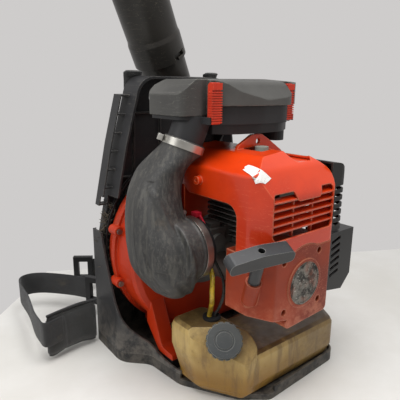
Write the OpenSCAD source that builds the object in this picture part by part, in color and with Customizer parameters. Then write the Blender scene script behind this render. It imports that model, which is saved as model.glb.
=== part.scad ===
// Backpack leaf blower: two-stroke engine, scroll fan, blower tube, back frame and harness.
// X points to the user's right, Y towards the user's back, Z up. The base rests on Z = 0.

/* [Engine] */
// Height of the crankshaft above the ground
crank_z = 205; // [195:1:215]
// Radius of the crankshaft journals
shaft_r = 10; // [8:0.5:12]
// Radius of the cylinder barrel
barrel_r = 32; // [28:1:36]
// Width of a cooling fin across the engine
fin_w = 92; // [84:1:100]
// Number of cooling fins
fin_count = 10; // [6:1:11]
// Spacing of the cooling fins
fin_pitch = 8.5; // [7:0.5:9]

/* [Fan] */
// Scroll radius at the tongue
scroll_r = 134; // [130:1:140]
// Growth of the scroll radius from the tongue to the outlet
scroll_growth = 40; // [34:1:42]
// Wall thickness of the fan housing
fan_wall = 3; // [2:0.5:4]
// Radius of the fan wheel
impeller_r = 118; // [105:1:122]
// Number of fan blades
blade_count = 16; // [10:1:20]
// Outer radius of the air outlet collar
outlet_r = 52; // [50:0.5:54]

/* [Blower tube] */
// Outer radius of the lower tube
tube_r = 49; // [47:0.5:50]
// Wall thickness of the tubes
tube_wall = 2.5; // [2:0.5:3]
// Length of the lower tube
tube_length = 395; // [370:1:420]
// Length of the upper tube beyond the bayonet
nozzle_length = 330; // [250:1:360]
// Lean of the stored tube from the vertical
tube_tilt = 29.8; // [28:0.1:31]
// Number of ribs of the flexible hose
hose_ribs = 14; // [8:1:16]

/* [Covers] */
// Wall thickness of the moulded covers
cover_wall = 3; // [2:0.5:4]
// Number of long bars in the engine cover's grille
grille_bars = 5; // [4:1:6]
// Gap between neighbouring covers
seam_gap = 0.5; // [0.3:0.1:1]
// Radius of the bare disc on the starter cover
disc_r = 35; // [30:1:37]

/* [Air filter] */
// Height of the filter box top
filter_top = 513; // [508:1:518]
// Width of an orange latch
latch_w = 18; // [12:1:20]
// Number of grip ribs on a latch
latch_ribs = 13; // [8:1:14]

/* [Intake elbow] */
// Outer radius of the carburettor end of the rubber elbow
elbow_r = 50; // [48:1:52]
// Outer radius of the filter end of the rubber elbow
elbow_top_r = 33; // [31:1:35]
// Wall thickness of the rubber
elbow_wall = 4; // [3:0.5:5]

/* [Fuel] */
// Height of the tank's low part above the tray
tank_h = 78; // [70:1:84]
// Height of the tank's raised lobe above the tray
lobe_h = 115; // [108:1:120]
// Radius of the filler cap
cap_r = 29; // [27:0.5:31]
// Radius of the fuel line
line_r = 4; // [3:0.5:4.5]

/* [Frame and harness] */
// Height of the back frame
frame_h = 519; // [500:1:530]
// Lean of the back frame towards the engine
frame_lean = 3; // [2.5:0.1:3.5]
// Wall thickness of the frame
frame_wall = 4; // [3:0.5:5]
// Height of the base tray's rim
tray_h = 20; // [18:1:24]
// Thickness of the base tray's floor
tray_floor = 10; // [8:1:12]
// Width of the hip webbing
web_w = 50; // [40:1:52]
// Thickness of the hip webbing
web_t = 3; // [2:0.5:4]

/* [Hidden] */
$fn = 48;

orange = [0.86, 0.26, 0.07];
faded_orange = [0.72, 0.27, 0.13];
dark_grey = [0.20, 0.20, 0.21];
mid_grey = [0.36, 0.36, 0.36];
rubber_grey = [0.30, 0.31, 0.31];
near_black = [0.07, 0.07, 0.08];
cream = [0.80, 0.71, 0.47];
steel = [0.78, 0.77, 0.74];
cast_metal = [0.62, 0.62, 0.60];

// Small clearances shared by the fits
run_gap = 0.05;
soft_gap = 0.3;
eps = 0.5;
// Fan housing planes along Y
fan_front = 30;
fan_seam = 92;
fan_rear = 124;
rim = 6;
scroll_low = scroll_r + scroll_growth;
neck_h = 108;
neck_x = 150;
outlet_y = (fan_front + fan_rear) / 2;
outlet_z = crank_z - scroll_low + neck_h / 2;
outlet_end = neck_x + 20;
elbow_bend = 57;
elbow_exit = [outlet_end + elbow_bend, 150, outlet_z];
// Blower tube axis: it starts where the hose ends
tube_start = [191, 260, 231];
tube_turn = -160.6;
tube_axis = [sin(tube_tilt) * cos(tube_turn), sin(tube_tilt) * sin(tube_turn), cos(tube_tilt)];
hose_pull = 90;
hose_crest_r = tube_r + 8;
hose_valley_r = tube_r + 3;
spigot = hose_valley_r - 2;
cuff = 25;
collar_end = 45;
bayonet_at = tube_length - 22;
socket_r = tube_r + 5;
// Engine planes along Y
cylinder_y = -64;
case_front = -118;
plate_front = -124;
cover_front = -203;
deck_z = crank_z + 42;
port_z = crank_z + 62;
barrel_top = deck_z + 8 + fin_count * fin_pitch + 10;
plug_x = 10;
plug_y = -84;
// Starter: the grip rests above the scoop at the cover's left corner
grip_centre = [-104, -208, 273.5];
grip_drop = 50;
pull_tilt = 25.4;
pull_turn = -117.8;
grip_spin = 101.8;
// Seam between the starter cover and the engine cover, as a curve over X
disc_x = 6;
seam_arch_r = 62;
function seam_z(x) = crank_z + max(55, sqrt(max(0, seam_arch_r * seam_arch_r - (x - disc_x) * (x - disc_x))));
// Filter box
filter_low = filter_top - 71;
lobe_low = filter_top - 57;
// Intake
horn_z = 248;
horn_x = -102;
stub_foot = [-106, -34, 402];
stub_axis = [-0.35, 0.1, -0.93];
// Fuel
tank_top = tray_floor + tank_h;
lobe_top = tray_floor + lobe_h;
cap_centre = [-106, -143, 115];
cap_axis = [-0.5, -0.6, 0.62];
// Back frame
frame_y = 160;
flank_end = -61;
function flank_top(y) = 26 + 210 * pow(max(0, y - flank_end) / 186, 3);
function half_width(z) = lookup(z, [[0, 165], [215, 165], [400, 130], [frame_h - 1, 102]]);

// ---- shared shapes ----

function unit(v) = v / norm(v);
function angle_of(v) = atan2(v.y, v.x);

// A polygon's corner [x, y, radius] as an arc
function fillet(before, corner, after, steps) =
  corner[2] == 0 ? [[corner.x, corner.y]] :
  let (p = [corner.x, corner.y],
    u = unit([before.x, before.y] - p),
    v = unit([after.x, after.y] - p),
    half = acos(max(-1, min(1, u * v))) / 2,
    centre = p + unit(u + v) * corner[2] / sin(half),
    first = p + u * corner[2] / tan(half) - centre,
    last = p + v * corner[2] / tan(half) - centre,
    turn = atan2(first.x * last.y - first.y * last.x, first * last))
  [for (i = [0:steps])
    centre + corner[2] * [cos(angle_of(first) + turn * i / steps),
               sin(angle_of(first) + turn * i / steps)]];

function rounded(corners, steps = 5) =
  let (n = len(corners))
  [for (i = [0:n - 1])
    each fillet(corners[(i + n - 1) % n], corners[i], corners[(i + 1) % n], steps)];

// A profile in (Y, Z), swept along X
module along_x(from, to) {
  translate([from, 0, 0])
    rotate([90, 0, 90])
      linear_extrude(to - from) children();
}

// A profile in (X, Z), swept along Y
module along_y(from, to) {
  translate([0, to, 0])
    rotate([90, 0, 0])
      linear_extrude(to - from) children();
}

module rod_x(y, z, from, to, r) {
  translate([from, y, z])
    rotate([0, 90, 0])
      cylinder(h = to - from, r = r);
}

module rod_y(x, z, from, to, r) {
  translate([x, to, z])
    rotate([90, 0, 0])
      cylinder(h = to - from, r = r);
}

// Children drawn along Z are turned to run along an axis from a point
module aim(point, axis) {
  u = unit(axis);
  translate(point)
    rotate([0, acos(u.z), atan2(u.y, u.x)])
      children();
}

module tube_frame() {
  translate(tube_start)
    rotate([0, tube_tilt, tube_turn])
      children();
}

// One closed solid through rings of points, each ring turning left about its travel
module loft(rings) {
  n = len(rings[0]);
  last = len(rings) - 1;
  polyhedron(
    points = [for (ring = rings) each ring],
    faces = concat(
      [for (i = [1:n - 2]) [0, i, i + 1]],
      [for (i = [1:n - 2]) [n * last, n * last + i + 1, n * last + i]],
      [for (k = [0:last - 1], i = [0:n - 1]) [n * k + i, n * (k + 1) + i, n * (k + 1) + (i + 1) % n]],
      [for (k = [0:last - 1], i = [0:n - 1]) [n * k + i, n * (k + 1) + (i + 1) % n, n * k + (i + 1) % n]]),
    convexity = 6);
}

function ring(centre, travel, r, sides, side = [1, 0.3, 0]) =
  let (u = unit(cross(side, travel)), v = cross(unit(travel), u))
  [for (i = [0:sides - 1]) centre + r * (cos(360 * i / sides) * u + sin(360 * i / sides) * v)];

function bezier(a, b, c, d, t) =
  pow(1 - t, 3) * a + 3 * t * pow(1 - t, 2) * b + 3 * t * t * (1 - t) * c + t * t * t * d;

// Smooth route through hand-placed points
function route(points, steps) =
  let (last = len(points) - 1)
  [for (i = [0:last - 1], k = [0:steps - (i == last - 1 ? 0 : 1)])
    let (t = k / steps,
      a = points[max(0, i - 1)],
      b = points[i],
      c = points[i + 1],
      d = points[min(last, i + 2)])
    0.5 * (2 * b + (c - a) * t + (2 * a - 5 * b + 4 * c - d) * t * t
      + (3 * b - a - 3 * c + d) * t * t * t)];

module hose(points, r, sides = 8) {
  last = len(points) - 1;
  loft([for (i = [0:last])
    ring(points[i], points[min(last, i + 1)] - points[max(0, i - 1)], r, sides)]);
}

// ---- back frame and base ----

function frame_outline(inset) = rounded([
  [-165 + inset, 5, 0],
  [165 - inset, 5, 0],
  [165 - inset, 215, 60],
  [130 - inset, 400, 80],
  [100 - inset, frame_h - inset, 34],
  [-100 + inset, frame_h - inset, 34],
  [-130 + inset, 400, 80],
  [-165 + inset, 215, 60]]);

function tray_outline(inset) = rounded([
  [-39, -185 + inset, 20],
  [141, -180 + inset, 24],
  [168 - inset, -140, 20],
  [170 - inset, 166 - inset, 10],
  [-172 + inset, 166 - inset, 10],
  [-177 + inset, 61, 40],
  [-138 + inset, 20, 30],
  [-131 + inset, -61, 40],
  [-80 + inset * 0.7, -150 + inset * 0.7, 30]]);

module back_frame() {
  rungs = 7;
  rung_pitch = 33;
  ladder_low = 285;
  ladder_depth = 24;
  wall_depth = 42;
  color(dark_grey) {
    difference() {
      translate([0, frame_y, 0])
        rotate([frame_lean, 0, 0])
          union() {
            difference() {
              along_y(-wall_depth, 6) polygon(frame_outline(0));
              along_y(-wall_depth - 1, 0) polygon(frame_outline(frame_wall));
              // carrying grip slot
              along_y(-1, 7)
                polygon(rounded([[-55, 468, 12], [55, 468, 12], [55, 496, 12], [-55, 496, 12]]));
            }
            // stiffening ribs on the front of the panel
            for (x = [-90, -30, 30, 90])
              translate([x - 1.5, -rib_depth, 30])
                cube([3, rib_depth + 0.5, 420]);
            for (z = [250, 330, 450])
              translate([-half_width(z) + 2, -rib_depth, z])
                cube([2 * half_width(z) - 4, rib_depth + 0.5, 3]);
            // open ladder along both edges
            for (side = [-1, 1], i = [0:rungs - 1]) {
              z = ladder_low + i * rung_pitch;
              translate([side * (half_width(z) + 7) - 9, 6 - ladder_depth, z])
                cube([18, ladder_depth, 3]);
            }
            for (side = [-1, 1])
              ladder_strip(side, ladder_low, ladder_low + (rungs - 1) * rung_pitch + 3, ladder_depth);
          }
      translate([-300, -300, -20])
        cube([600, 600, 20 + tray_floor]);
      // room for the fan housing, its guard and the outlet
      translate([-300, 0, 0])
        cube([600, guard_rear + 2, 302]);
      translate([0, 0, 0])
        linear_extrude(tray_h) difference() {
          square([800, 800], center = true);
          polygon(tray_outline(frame_wall + eps));
        }
    }
    flank();
    for (p = mount_points)
      rod_y(p.x, p.y, upright_y(p.y) - boss_depth, upright_y(p.y) + 2, 16);
  }
}

module ladder_strip(side, low, high, depth) {
  strip = 14;
  along_y(6 - depth, 6)
    polygon([
      [side * (half_width(low) + strip), low],
      [side * (half_width(low) + strip + 2.5), low],
      [side * (half_width(400) + strip + 2.5), 400],
      [side * (half_width(high) + strip + 2.5), high],
      [side * (half_width(high) + strip), high],
      [side * (half_width(400) + strip), 400]]);
}

// Side flank that sweeps from the upright down to the tray's rim
module flank() {
  flank_steps = 12;
  flank_back = 125;
  difference() {
    intersection() {
      translate([0, 0, tray_h])
        linear_extrude(300) difference() {
          polygon(tray_outline(0));
          polygon(tray_outline(frame_wall));
        }
      along_x(-200, 200) polygon(concat(
        [[flank_end, tray_h - 1]],
        [for (i = [0:flank_steps])
          let (y = flank_end + (flank_back - flank_end) * i / flank_steps)
          [y, flank_top(y)]],
        [[160, flank_top(flank_back)], [160, tray_h - 1]]));
    }
    // the right flank drops below the air outlet
    translate([0, outlet_y - outlet_r - 10, tray_h + 7])
      cube([300, 300, 400]);
    translate([-160, 100, tray_h - 2])
      cube([320, 100, 400]);
  }
  // webs between the flanks and the upright
  translate([-172, frame_y - 10, tray_h])
    cube([12, 6, 206]);
  translate([161, frame_y - 10, tray_h])
    cube([8, 6, 7]);
}

module base_tray() {
  color(dark_grey) {
    linear_extrude(tray_floor) polygon(tray_outline(2));
    difference() {
      translate([0, 0, 0]) linear_extrude(tray_h) polygon(tray_outline(0));
      translate([0, 0, tray_floor]) linear_extrude(tray_h) polygon(tray_outline(frame_wall));
      translate([0, 0, -1]) linear_extrude(tray_floor + 2) polygon(tray_outline(frame_wall + 1));
      // the rim is low where the tank's lobe hangs over it
      translate([-200, -260, tray_floor + 1]) cube([172, 200, 40]);
    }
  }
}

module isolators() {
  color(near_black) {
    translate([foot_x - 12, foot_y - 12, tray_floor])
      cube([24, 24, foot_z - tray_floor]);
    translate([100, 46, tray_floor])
      cube([24, 24, crank_z - scroll_low - tray_floor]);
    for (p = mount_points)
      rod_y(p.x, p.y, fan_rear, upright_y(p.y) - boss_depth, 13);
  }
}

// Where the fan housing is bolted to the upright, as X and Z
mount_points = [[-95, 300], [95, 300], [-112, 150], [112, 150]];
boss_depth = 7;
rib_depth = 5;
guard_rear = 135;
foot_x = -113;
foot_y = -19;
foot_z = 32;
// Front face of the upright's panel at a height
function upright_y(z) = frame_y - z * tan(frame_lean);

// ---- fan ----

function scroll(inset) =
  let (neck_top = -scroll_low + neck_h - inset)
  concat(
    [for (a = [-24:6:270])
      (scroll_r + scroll_growth * (a + 30) / 300 - inset) * [cos(a), sin(a)]],
    [[neck_x, -scroll_low + inset],
    [neck_x, neck_top],
    [sqrt(pow(scroll_r - inset, 2) - neck_top * neck_top), neck_top]]);

module scroll_along_y(from, to, inset) {
  translate([0, 0, crank_z])
    along_y(from, to) polygon(scroll(inset));
}

// The scroll outline as a ring of points in the plane of one Y
function scroll_ring(y, inset) =
  let (outline = scroll(inset), count = len(outline))
  [for (i = [0:count - 1])
    let (p = outline[count - 1 - i])
    [p.x, y, crank_z + p.y]];

function scroll_at(a) = scroll_r + scroll_growth * (a + 30) / 300;
lug_angles = [20, 75, 130, 165, 199, 240];

module rim_lugs(from, to) {
  for (a = lug_angles)
    rod_y((scroll_at(a) + rim + 1) * cos(a), crank_z + (scroll_at(a) + rim + 1) * sin(a), from, to, 9);
}

module fan_housing_front() {
  soft = 12;
  color(orange)
    difference() {
      union() {
        loft([
          scroll_ring(fan_front, soft),
          scroll_ring(fan_front + soft / 3, soft / 4),
          scroll_ring(fan_front + soft, 0),
          scroll_ring(fan_seam, 0)]);
        scroll_along_y(fan_seam - 5, fan_seam, -rim);
        rim_lugs(fan_seam - 16, fan_seam);
        // plate and collar of the air outlet
        translate([neck_x - 0.5, fan_front + soft, crank_z - scroll_low])
          cube([4, fan_rear - fan_front - soft, neck_h]);
        rod_x(outlet_y, outlet_z, neck_x, outlet_end, outlet_r);
        housing_foot();
      }
      loft([
        scroll_ring(fan_front + fan_wall, soft + fan_wall),
        scroll_ring(fan_front + soft / 3 + fan_wall, soft / 4 + fan_wall),
        scroll_ring(fan_front + soft + fan_wall, fan_wall),
        scroll_ring(fan_seam + 1, fan_wall)]);
      rod_x(outlet_y, outlet_z, neck_x - 4, outlet_end + 1, outlet_r - fan_wall);
      rod_y(0, crank_z, fan_front - 1, fan_front + fan_wall + 1, shaft_r + 12);
    }
}

module housing_foot() {
  along_x(foot_x - 15, foot_x + 13)
    polygon(rounded([
      [fan_front + 14, foot_z + 98, 0],
      [fan_front + 4, foot_z + 98, 6],
      [-4, foot_z + 12, 12],
      [foot_y - 16, foot_z + 10, 3],
      [foot_y - 16, foot_z, 0],
      [fan_front - 24, foot_z, 14],
      [fan_front + 14, foot_z + 43, 0]]));
}

module fan_housing_rear() {
  soft = 12;
  inlet_r = 84;
  color(orange)
    difference() {
      union() {
        loft([
          scroll_ring(fan_seam, 0),
          scroll_ring(fan_rear - soft, 0),
          scroll_ring(fan_rear - soft / 3, soft / 4),
          scroll_ring(fan_rear, soft)]);
        scroll_along_y(fan_seam, fan_seam + 5, -rim);
        rim_lugs(fan_seam, fan_seam + 8);
      }
      loft([
        scroll_ring(fan_seam - 1, fan_wall),
        scroll_ring(fan_rear - soft - fan_wall, fan_wall),
        scroll_ring(fan_rear - soft / 3 - fan_wall, soft / 4 + fan_wall),
        scroll_ring(fan_rear - fan_wall, soft + fan_wall)]);
      rod_y(0, crank_z, fan_rear - fan_wall - 1, fan_rear + 1, inlet_r);
      translate([neck_x - 1, fan_front, crank_z - scroll_low - 10])
        cube([60, 120, neck_h + 20]);
    }
}

// Peripheral intake screen between the fan housing and the frame
module inlet_guard() {
  guard_r = 164;
  bars = 60;
  color(near_black) {
    for (y = [fan_rear + seam_gap, guard_rear - 3])
      translate([0, y + 3, crank_z])
        rotate([90, 0, 0])
          rotate_extrude() translate([guard_r - 3, 0]) square([3, 3]);
    for (i = [0:bars - 1])
      translate([0, fan_rear + seam_gap, crank_z])
        rotate([0, i * 360 / bars, 0])
          translate([guard_r - 2.5, 0, -0.8])
            cube([1.6, guard_rear - fan_rear - seam_gap, 1.6]);
  }
}

module screws() {
  head_r = 5;
  color(steel) {
    for (a = lug_angles)
      translate([(scroll_at(a) + rim + 2) * cos(a), fan_seam - 16, crank_z + (scroll_at(a) + rim + 2) * sin(a)])
        rotate([90, 0, 0])
          cylinder(h = 4, r = head_r);
    for (p = starter_posts)
      difference() {
        rod_y(p.x, p.y, cover_front + 8, cover_front + 12, head_r - 0.6);
        translate([p.x, cover_front + 8, p.y])
          rotate([90, 0, 0])
            cylinder(h = 5, r = 2, center = true, $fn = 6);
      }
  }
}

module impeller() {
  hub_r = 26;
  blade_h = 46;
  back = fan_front + 12;
  color(near_black)
    difference() {
      union() {
        rod_y(0, crank_z, back, back + 4, impeller_r);
        rod_y(0, crank_z, back, back + blade_h, hub_r);
        for (i = [0:blade_count - 1])
          translate([0, back + 2, crank_z])
            rotate([0, i * 360 / blade_count, 0])
              translate([hub_r - 2, 0, -1.2])
                rotate([0, 14, 0])
                  cube([impeller_r - hub_r - 4, blade_h, 2.4]);
      }
      rod_y(0, crank_z, back - 1, back + blade_h + 1, shaft_r + run_gap);
    }
}

module crankshaft() {
  web_r = 30;
  web_t = 11;
  color(steel) {
    rod_y(0, crank_z, -158, cylinder_y - 15, shaft_r);
    rod_y(0, crank_z, cylinder_y + 15, 96, shaft_r);
    for (y = [cylinder_y - 14 - web_t, cylinder_y + 14])
      rod_y(0, crank_z, y, y + web_t, web_r);
    rod_y(0, crank_z + 18, cylinder_y - 15, cylinder_y + 15, 7);
    // fan nut
    translate([0, 95, crank_z])
      rotate([90, 0, 0])
        cylinder(h = 7, r = 12, $fn = 6);
  }
}

module flywheel() {
  wheel_r = 45;
  wheel_front = plate_front - 30;
  color(cast_metal)
    difference() {
      union() {
        rod_y(0, crank_z, wheel_front, plate_front - 3, wheel_r);
        for (i = [0:11])
          translate([0, wheel_front - 10, crank_z])
            rotate([0, i * 30, 0])
              translate([24, 0, -1.5])
                cube([22, 11, 3]);
      }
      rod_y(0, crank_z, wheel_front - 12, plate_front, shaft_r + run_gap);
    }
}

// ---- engine ----

starter_posts = [[40, crank_z + 45], [-44, crank_z + 43], [45, crank_z - 41], [-40, crank_z - 39]];

module crankcase() {
  arm_r = 105;
  color(cast_metal)
    difference() {
      union() {
        rod_y(0, crank_z, case_front, fan_front, 48);
        rod_y(0, crank_z, fan_front - 8, fan_front, 78);
        translate([-42, cylinder_y - 42, crank_z])
          cube([84, 84, deck_z - crank_z]);
        along_y(plate_front, case_front + 1)
          polygon(rounded([
            [-56, crank_z - 54, 10], [58, crank_z - 54, 10], [58, crank_z + 56, 8],
            [18, crank_z + 56, 0], [18, crank_z + 84, 4], [-18, crank_z + 84, 4],
            [-18, crank_z + 56, 0], [-56, crank_z + 56, 8]]));
        // ear for the heat shield
        along_y(plate_front, case_front + 1)
          polygon([[50, crank_z], [89, crank_z], [89, crank_z + 30], [50, crank_z + 30]]);
        for (a = [30, 150, 210, 330])
          translate([0, fan_front - 8, crank_z])
            rotate([0, a, 0])
              translate([0, 0, -8])
                cube([arm_r, 8, 16]);
      }
      rod_y(0, crank_z, plate_front - 1, fan_front + 1, shaft_r + run_gap);
      rod_y(0, crank_z, cylinder_y - 34, cylinder_y + 34, 36);
      translate([-60, cylinder_y - 42, deck_z]) cube([120, 84, 40]);
    }
}

module finned_cylinder() {
  fin_low = deck_z + 14;
  color(cast_metal)
    difference() {
      union() {
        translate([-38, cylinder_y - 38, deck_z])
          cube([76, 76, 8]);
        translate([0, cylinder_y, deck_z])
          cylinder(h = barrel_top - deck_z, r = barrel_r);
        for (i = [0:fin_count - 1])
          translate([0, cylinder_y, fin_low + i * fin_pitch])
            linear_extrude(2.2)
              polygon(rounded([
                [-fin_w / 2, -44, 14], [fin_w / 2, -44, 14],
                [fin_w / 2, 44, 14], [-fin_w / 2, 44, 14]]));
        translate([plug_x, plug_y, barrel_top - 12])
          cylinder(h = 16, r = 12);
        // exhaust and intake ports
        translate([20, cylinder_y - 18, port_z])
          cube([32, 36, 34]);
        translate([-54, cylinder_y - 20, deck_z + 2])
          cube([30, 40, 30]);
      }
      translate([plug_x, plug_y, barrel_top - 14])
        cylinder(h = 20, r = 7 + run_gap);
      rod_x(cylinder_y, port_z + 17, 30, 60, 12);
    }
}

module spark_plug() {
  color("white")
    translate([plug_x, plug_y, barrel_top - 12]) {
      cylinder(h = 20, r = 7);
      translate([0, 0, 16.2]) cylinder(h = 5, r = 10, $fn = 6);
      translate([0, 0, 21]) cylinder(h = 14, r = 4);
    }
}

module plug_boot() {
  boot_low = barrel_top + 10;
  color(mid_grey)
    difference() {
      union() {
        translate([plug_x, plug_y, boot_low])
          linear_extrude(26)
            polygon(rounded([[-18, -26, 6], [16, -26, 6], [16, 15, 6], [-18, 15, 6]]));
        translate([plug_x - 1, plug_y - 15, boot_low]) cylinder(h = 406 - boot_low, r = 11);
      }
      translate([plug_x, plug_y, boot_low - 1])
        cylinder(h = 16, r = 4 + soft_gap);
    }
}

module ignition_coil() {
  color(near_black)
    along_y(plate_front - 22, plate_front)
      polygon(rounded([
        [-16, crank_z + 64, 2], [16, crank_z + 64, 2],
        [16, crank_z + 84, 4], [-16, crank_z + 84, 4]]));
}

module muffler() {
  color(near_black) {
    along_y(cylinder_y - 42, cylinder_y + 42)
      polygon(rounded([
        [52, port_z - 8, 10], [112, port_z - 8, 10],
        [112, port_z + 78, 16], [52, port_z + 78, 16]]));
    // boss that carries the guard
    rod_x(cylinder_y, port_z + 33, 110, 131 - cover_wall, 7);
  }
}

guard_x = 81;
guard_top = 380;

guard_low = 266;
function guard_profile(inset) = rounded([
  [guard_x, guard_low - 2 * inset, 0],
  [131 - inset, guard_low - 2 * inset, 0],
  [131 - inset, 352 - inset, 24],
  [112 - inset, guard_top - inset, 22],
  [guard_x, guard_top + 4 - inset, 0]]);

// Domed heat guard over the muffler, with slots that run round its corner
module muffler_guard() {
  slots = 6;
  slot_pitch = 12.5;
  front = -188;
  color(mid_grey)
    difference() {
      intersection() {
        along_y(front, -6) polygon(guard_profile(0));
        linear_extrude(500)
          polygon(rounded([
            [guard_x, front, 0], [131, front, 22], [131, -6, 8], [guard_x, -6, 0]]));
      }
      intersection() {
        along_y(front + cover_wall, 0) polygon(guard_profile(cover_wall));
        translate([0, 0, -1]) linear_extrude(500)
          polygon(rounded([
            [guard_x - 1, front + cover_wall, 0], [131 - cover_wall, front + cover_wall, 19],
            [131 - cover_wall, 0, 0], [guard_x - 1, 0, 0]]));
      }
      for (i = [0:slots - 1])
        translate([guard_x + 13, front - 1, 274 + i * slot_pitch])
          cube([60, 106, 6]);
    }
}

// Black heat shield below the guard, open at the back
module muffler_shield() {
  slots = 6;
  front = -190;
  depth = 52;
  color(near_black)
    difference() {
      along_y(front, front + depth)
        polygon([[88, 160], [132, 152], [156, 176], [156, 262], [88, 262]]);
      along_y(front + cover_wall, front + depth + 1)
        polygon([[84, 165], [130, 156], [152, 178], [152, 258], [84, 258]]);
      for (i = [0:slots - 1])
        translate([94, front - 1, 182 + i * 12])
          rotate([0, -16, 0])
            cube([26, 5, 6]);
    }
  color(near_black)
    along_y(front + 1, plate_front)
      polygon([[84.8, 204], [88.5, 204], [88.5, 236], [84.8, 236]]);
}

// ---- carburettor and intake ----

carb_y = cylinder_y;

module carburetor() {
  color(cast_metal)
    difference() {
      union() {
        translate([-90, carb_y - 22, horn_z - 12])
          cube([34, 44, 42]);
        translate([-82, carb_y - 16, horn_z + 29])
          cube([20, 30, 9]);
        // metering cover and fuel nipples
        translate([-76, carb_y - 2, horn_z - 20])
          cylinder(h = 9, r = 3);
        translate([-64, carb_y - 2, horn_z - 20])
          cylinder(h = 9, r = 3);
        rod_y(-73, horn_z + 8, carb_y - 28, carb_y - 21, 14);
      }
      rod_x(carb_y, horn_z + 8, -91, -55, 11);
    }
  color(steel) rod_y(-73, horn_z + 20, carb_y + 21, carb_y + 28, 2);
}

// Choke pivot, in the slot between the carburettor and the horn's flange
choke_y = carb_y - 26;
choke_z = horn_z + 20;

module choke_lever() {
  color([0.80, 0.10, 0.16])
    difference() {
      union() {
        rod_x(choke_y, choke_z, -94.5, -91.5, 6);
        along_x(-94.5, -91.5)
          polygon([
            [choke_y - 5, choke_z + 3], [choke_y + 4, choke_z - 3],
            [choke_y + 34, choke_z + 29], [choke_y + 27, choke_z + 35]]);
        translate([-101, choke_y + 24, choke_z + 29])
          cube([11, 14, 7]);
      }
      rod_x(choke_y, choke_z, -98, -90, 2 + run_gap);
    }
}

module air_horn() {
  flange = 6;
  color(near_black) {
    difference() {
      union() {
        rod_x(carb_y, horn_z, horn_x, horn_x + flange, 46);
        rod_x(carb_y, horn_z, horn_x - 26, horn_x + 1, elbow_r - elbow_wall - 1);
        rod_x(carb_y, horn_z + 8, horn_x + 1, -90, 16);
      }
      rod_x(carb_y, horn_z, horn_x - 27, horn_x + 3, elbow_r - elbow_wall - 5);
      rod_x(carb_y, horn_z + 8, horn_x, -89, 11);
    }
    // choke pivot pin
    rod_x(choke_y, choke_z, horn_x + flange - 1, -90.5, 2);
  }
}

module throttle_lever() {
  color(steel)
    difference() {
      union() {
        rod_y(-73, horn_z + 20, carb_y + 23, carb_y + 26, 7);
        along_y(carb_y + 23, carb_y + 26)
          polygon([
            [-70, horn_z + 15], [-66, horn_z + 20],
            [-84, horn_z + 40], [-89, horn_z + 35]]);
      }
      rod_y(-73, horn_z + 20, carb_y + 22, carb_y + 27, 2 + run_gap);
    }
}

// Flattened rubber duct from the filter box down to the carburettor
elbow_rings = [
  // height, centre x, centre y, half width x, half width y
  [380, -126, -19, 33, 44],
  [362, -134, -14, 38, 44],
  [335, -143, -16, 43, 45],
  [300, -148, -22, 45, 51],
  [265, -150, -33, 45, 62],
  [238, -149, -38, 44, 67],
  [212, -146, -38, 41, 66],
  [190, -140, -38, 34, 54],
  [174, -135, -40, 25, 38],
  [165, -131, -41, 13, 20]];

function elbow_ring(row, inset, sides = 28) =
  [for (i = [0:sides - 1])
    let (a = -360 * i / sides,
      c = cos(a),
      s = sin(a),
      square_up = pow(pow(abs(c), 2.6) + pow(abs(s), 2.6), -1 / 2.6))
    [row[1] + (row[3] - inset) * c * square_up, row[2] + (row[4] - inset) * s * square_up,
    row[0] + (row[0] < 170 ? inset : 0)]];

// Round end of the duct, square to the filter box's stub
function elbow_top(inset, along, sides = 28) =
  let (down = unit(stub_axis), u = unit([1, 0, 0] - down.x * down), v = cross(down, u))
  [for (i = [0:sides - 1])
    stub_foot + along * down
      + (elbow_top_r - 0.4 - inset) * (cos(360 * i / sides) * u + sin(360 * i / sides) * v)];

module elbow_duct(inset, along) {
  loft(concat([elbow_top(inset, along)], [for (row = elbow_rings) elbow_ring(row, inset)]));
}

module intake_elbow() {
  mouth = horn_x - 2;
  color(rubber_grey)
    difference() {
      union() {
        intersection() {
          elbow_duct(0, -2);
          translate([-400 + horn_x - 16, -300, 0]) cube([400, 600, 600]);
        }
        rod_x(carb_y, horn_z, horn_x - 40, mouth, elbow_r);
        aim(stub_foot, stub_axis)
          translate([0, 0, -16]) cylinder(h = 16, r = elbow_top_r);
      }
      intersection() {
        elbow_duct(elbow_wall, -3);
        translate([-400 + horn_x - 20, -300, 0]) cube([400, 600, 600]);
      }
      rod_x(carb_y, horn_z, horn_x - 60, mouth + 1, elbow_r - elbow_wall - 1 + 0.1);
      aim(stub_foot, stub_axis)
        translate([0, 0, -17]) cylinder(h = 16, r = elbow_top_r - elbow_wall);
    }
}

module band_clamp(r, width) {
  difference() {
    cylinder(h = width, r = r + 1.2);
    translate([0, 0, -1]) cylinder(h = width + 2, r = r + 0.05);
  }
  // worm screw housing
  translate([r + 1, -9, 1])
    cube([9, 18, width - 2]);
  translate([r + 6, 14, width / 2])
    rotate([90, 0, 0])
      cylinder(h = 28, r = 4);
}

module elbow_clamps() {
  color(steel) {
    translate([horn_x - 15, carb_y, horn_z])
      rotate([0, 90, 0])
        rotate([0, 0, 150])
          band_clamp(elbow_r, 12);
    aim(stub_foot, stub_axis)
      translate([0, 0, -14])
        rotate([0, 0, 200])
          band_clamp(elbow_top_r, 12);
  }
}

// ---- filter box ----

function filter_plan(inset) = rounded([
  [-80 + inset, -72 + inset, 8],
  [-40, -96 + inset, 40],
  [10, -107 + inset, 60],
  [70, -104 + inset, 60],
  [116, -76 + inset, 24],
  [139 - inset, -30, 30],
  [132 - inset, 38 - inset, 20],
  [-80 + inset, 38 - inset, 0]]);

function lobe_plan(inset) = rounded([
  [-128 + inset, -58 + inset, 14],
  [-92, -66 + inset, 14],
  [-70, -62 + inset, 0],
  [-70, 34 - inset, 0],
  [-128 + inset, 30 - inset, 12]]);

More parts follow.
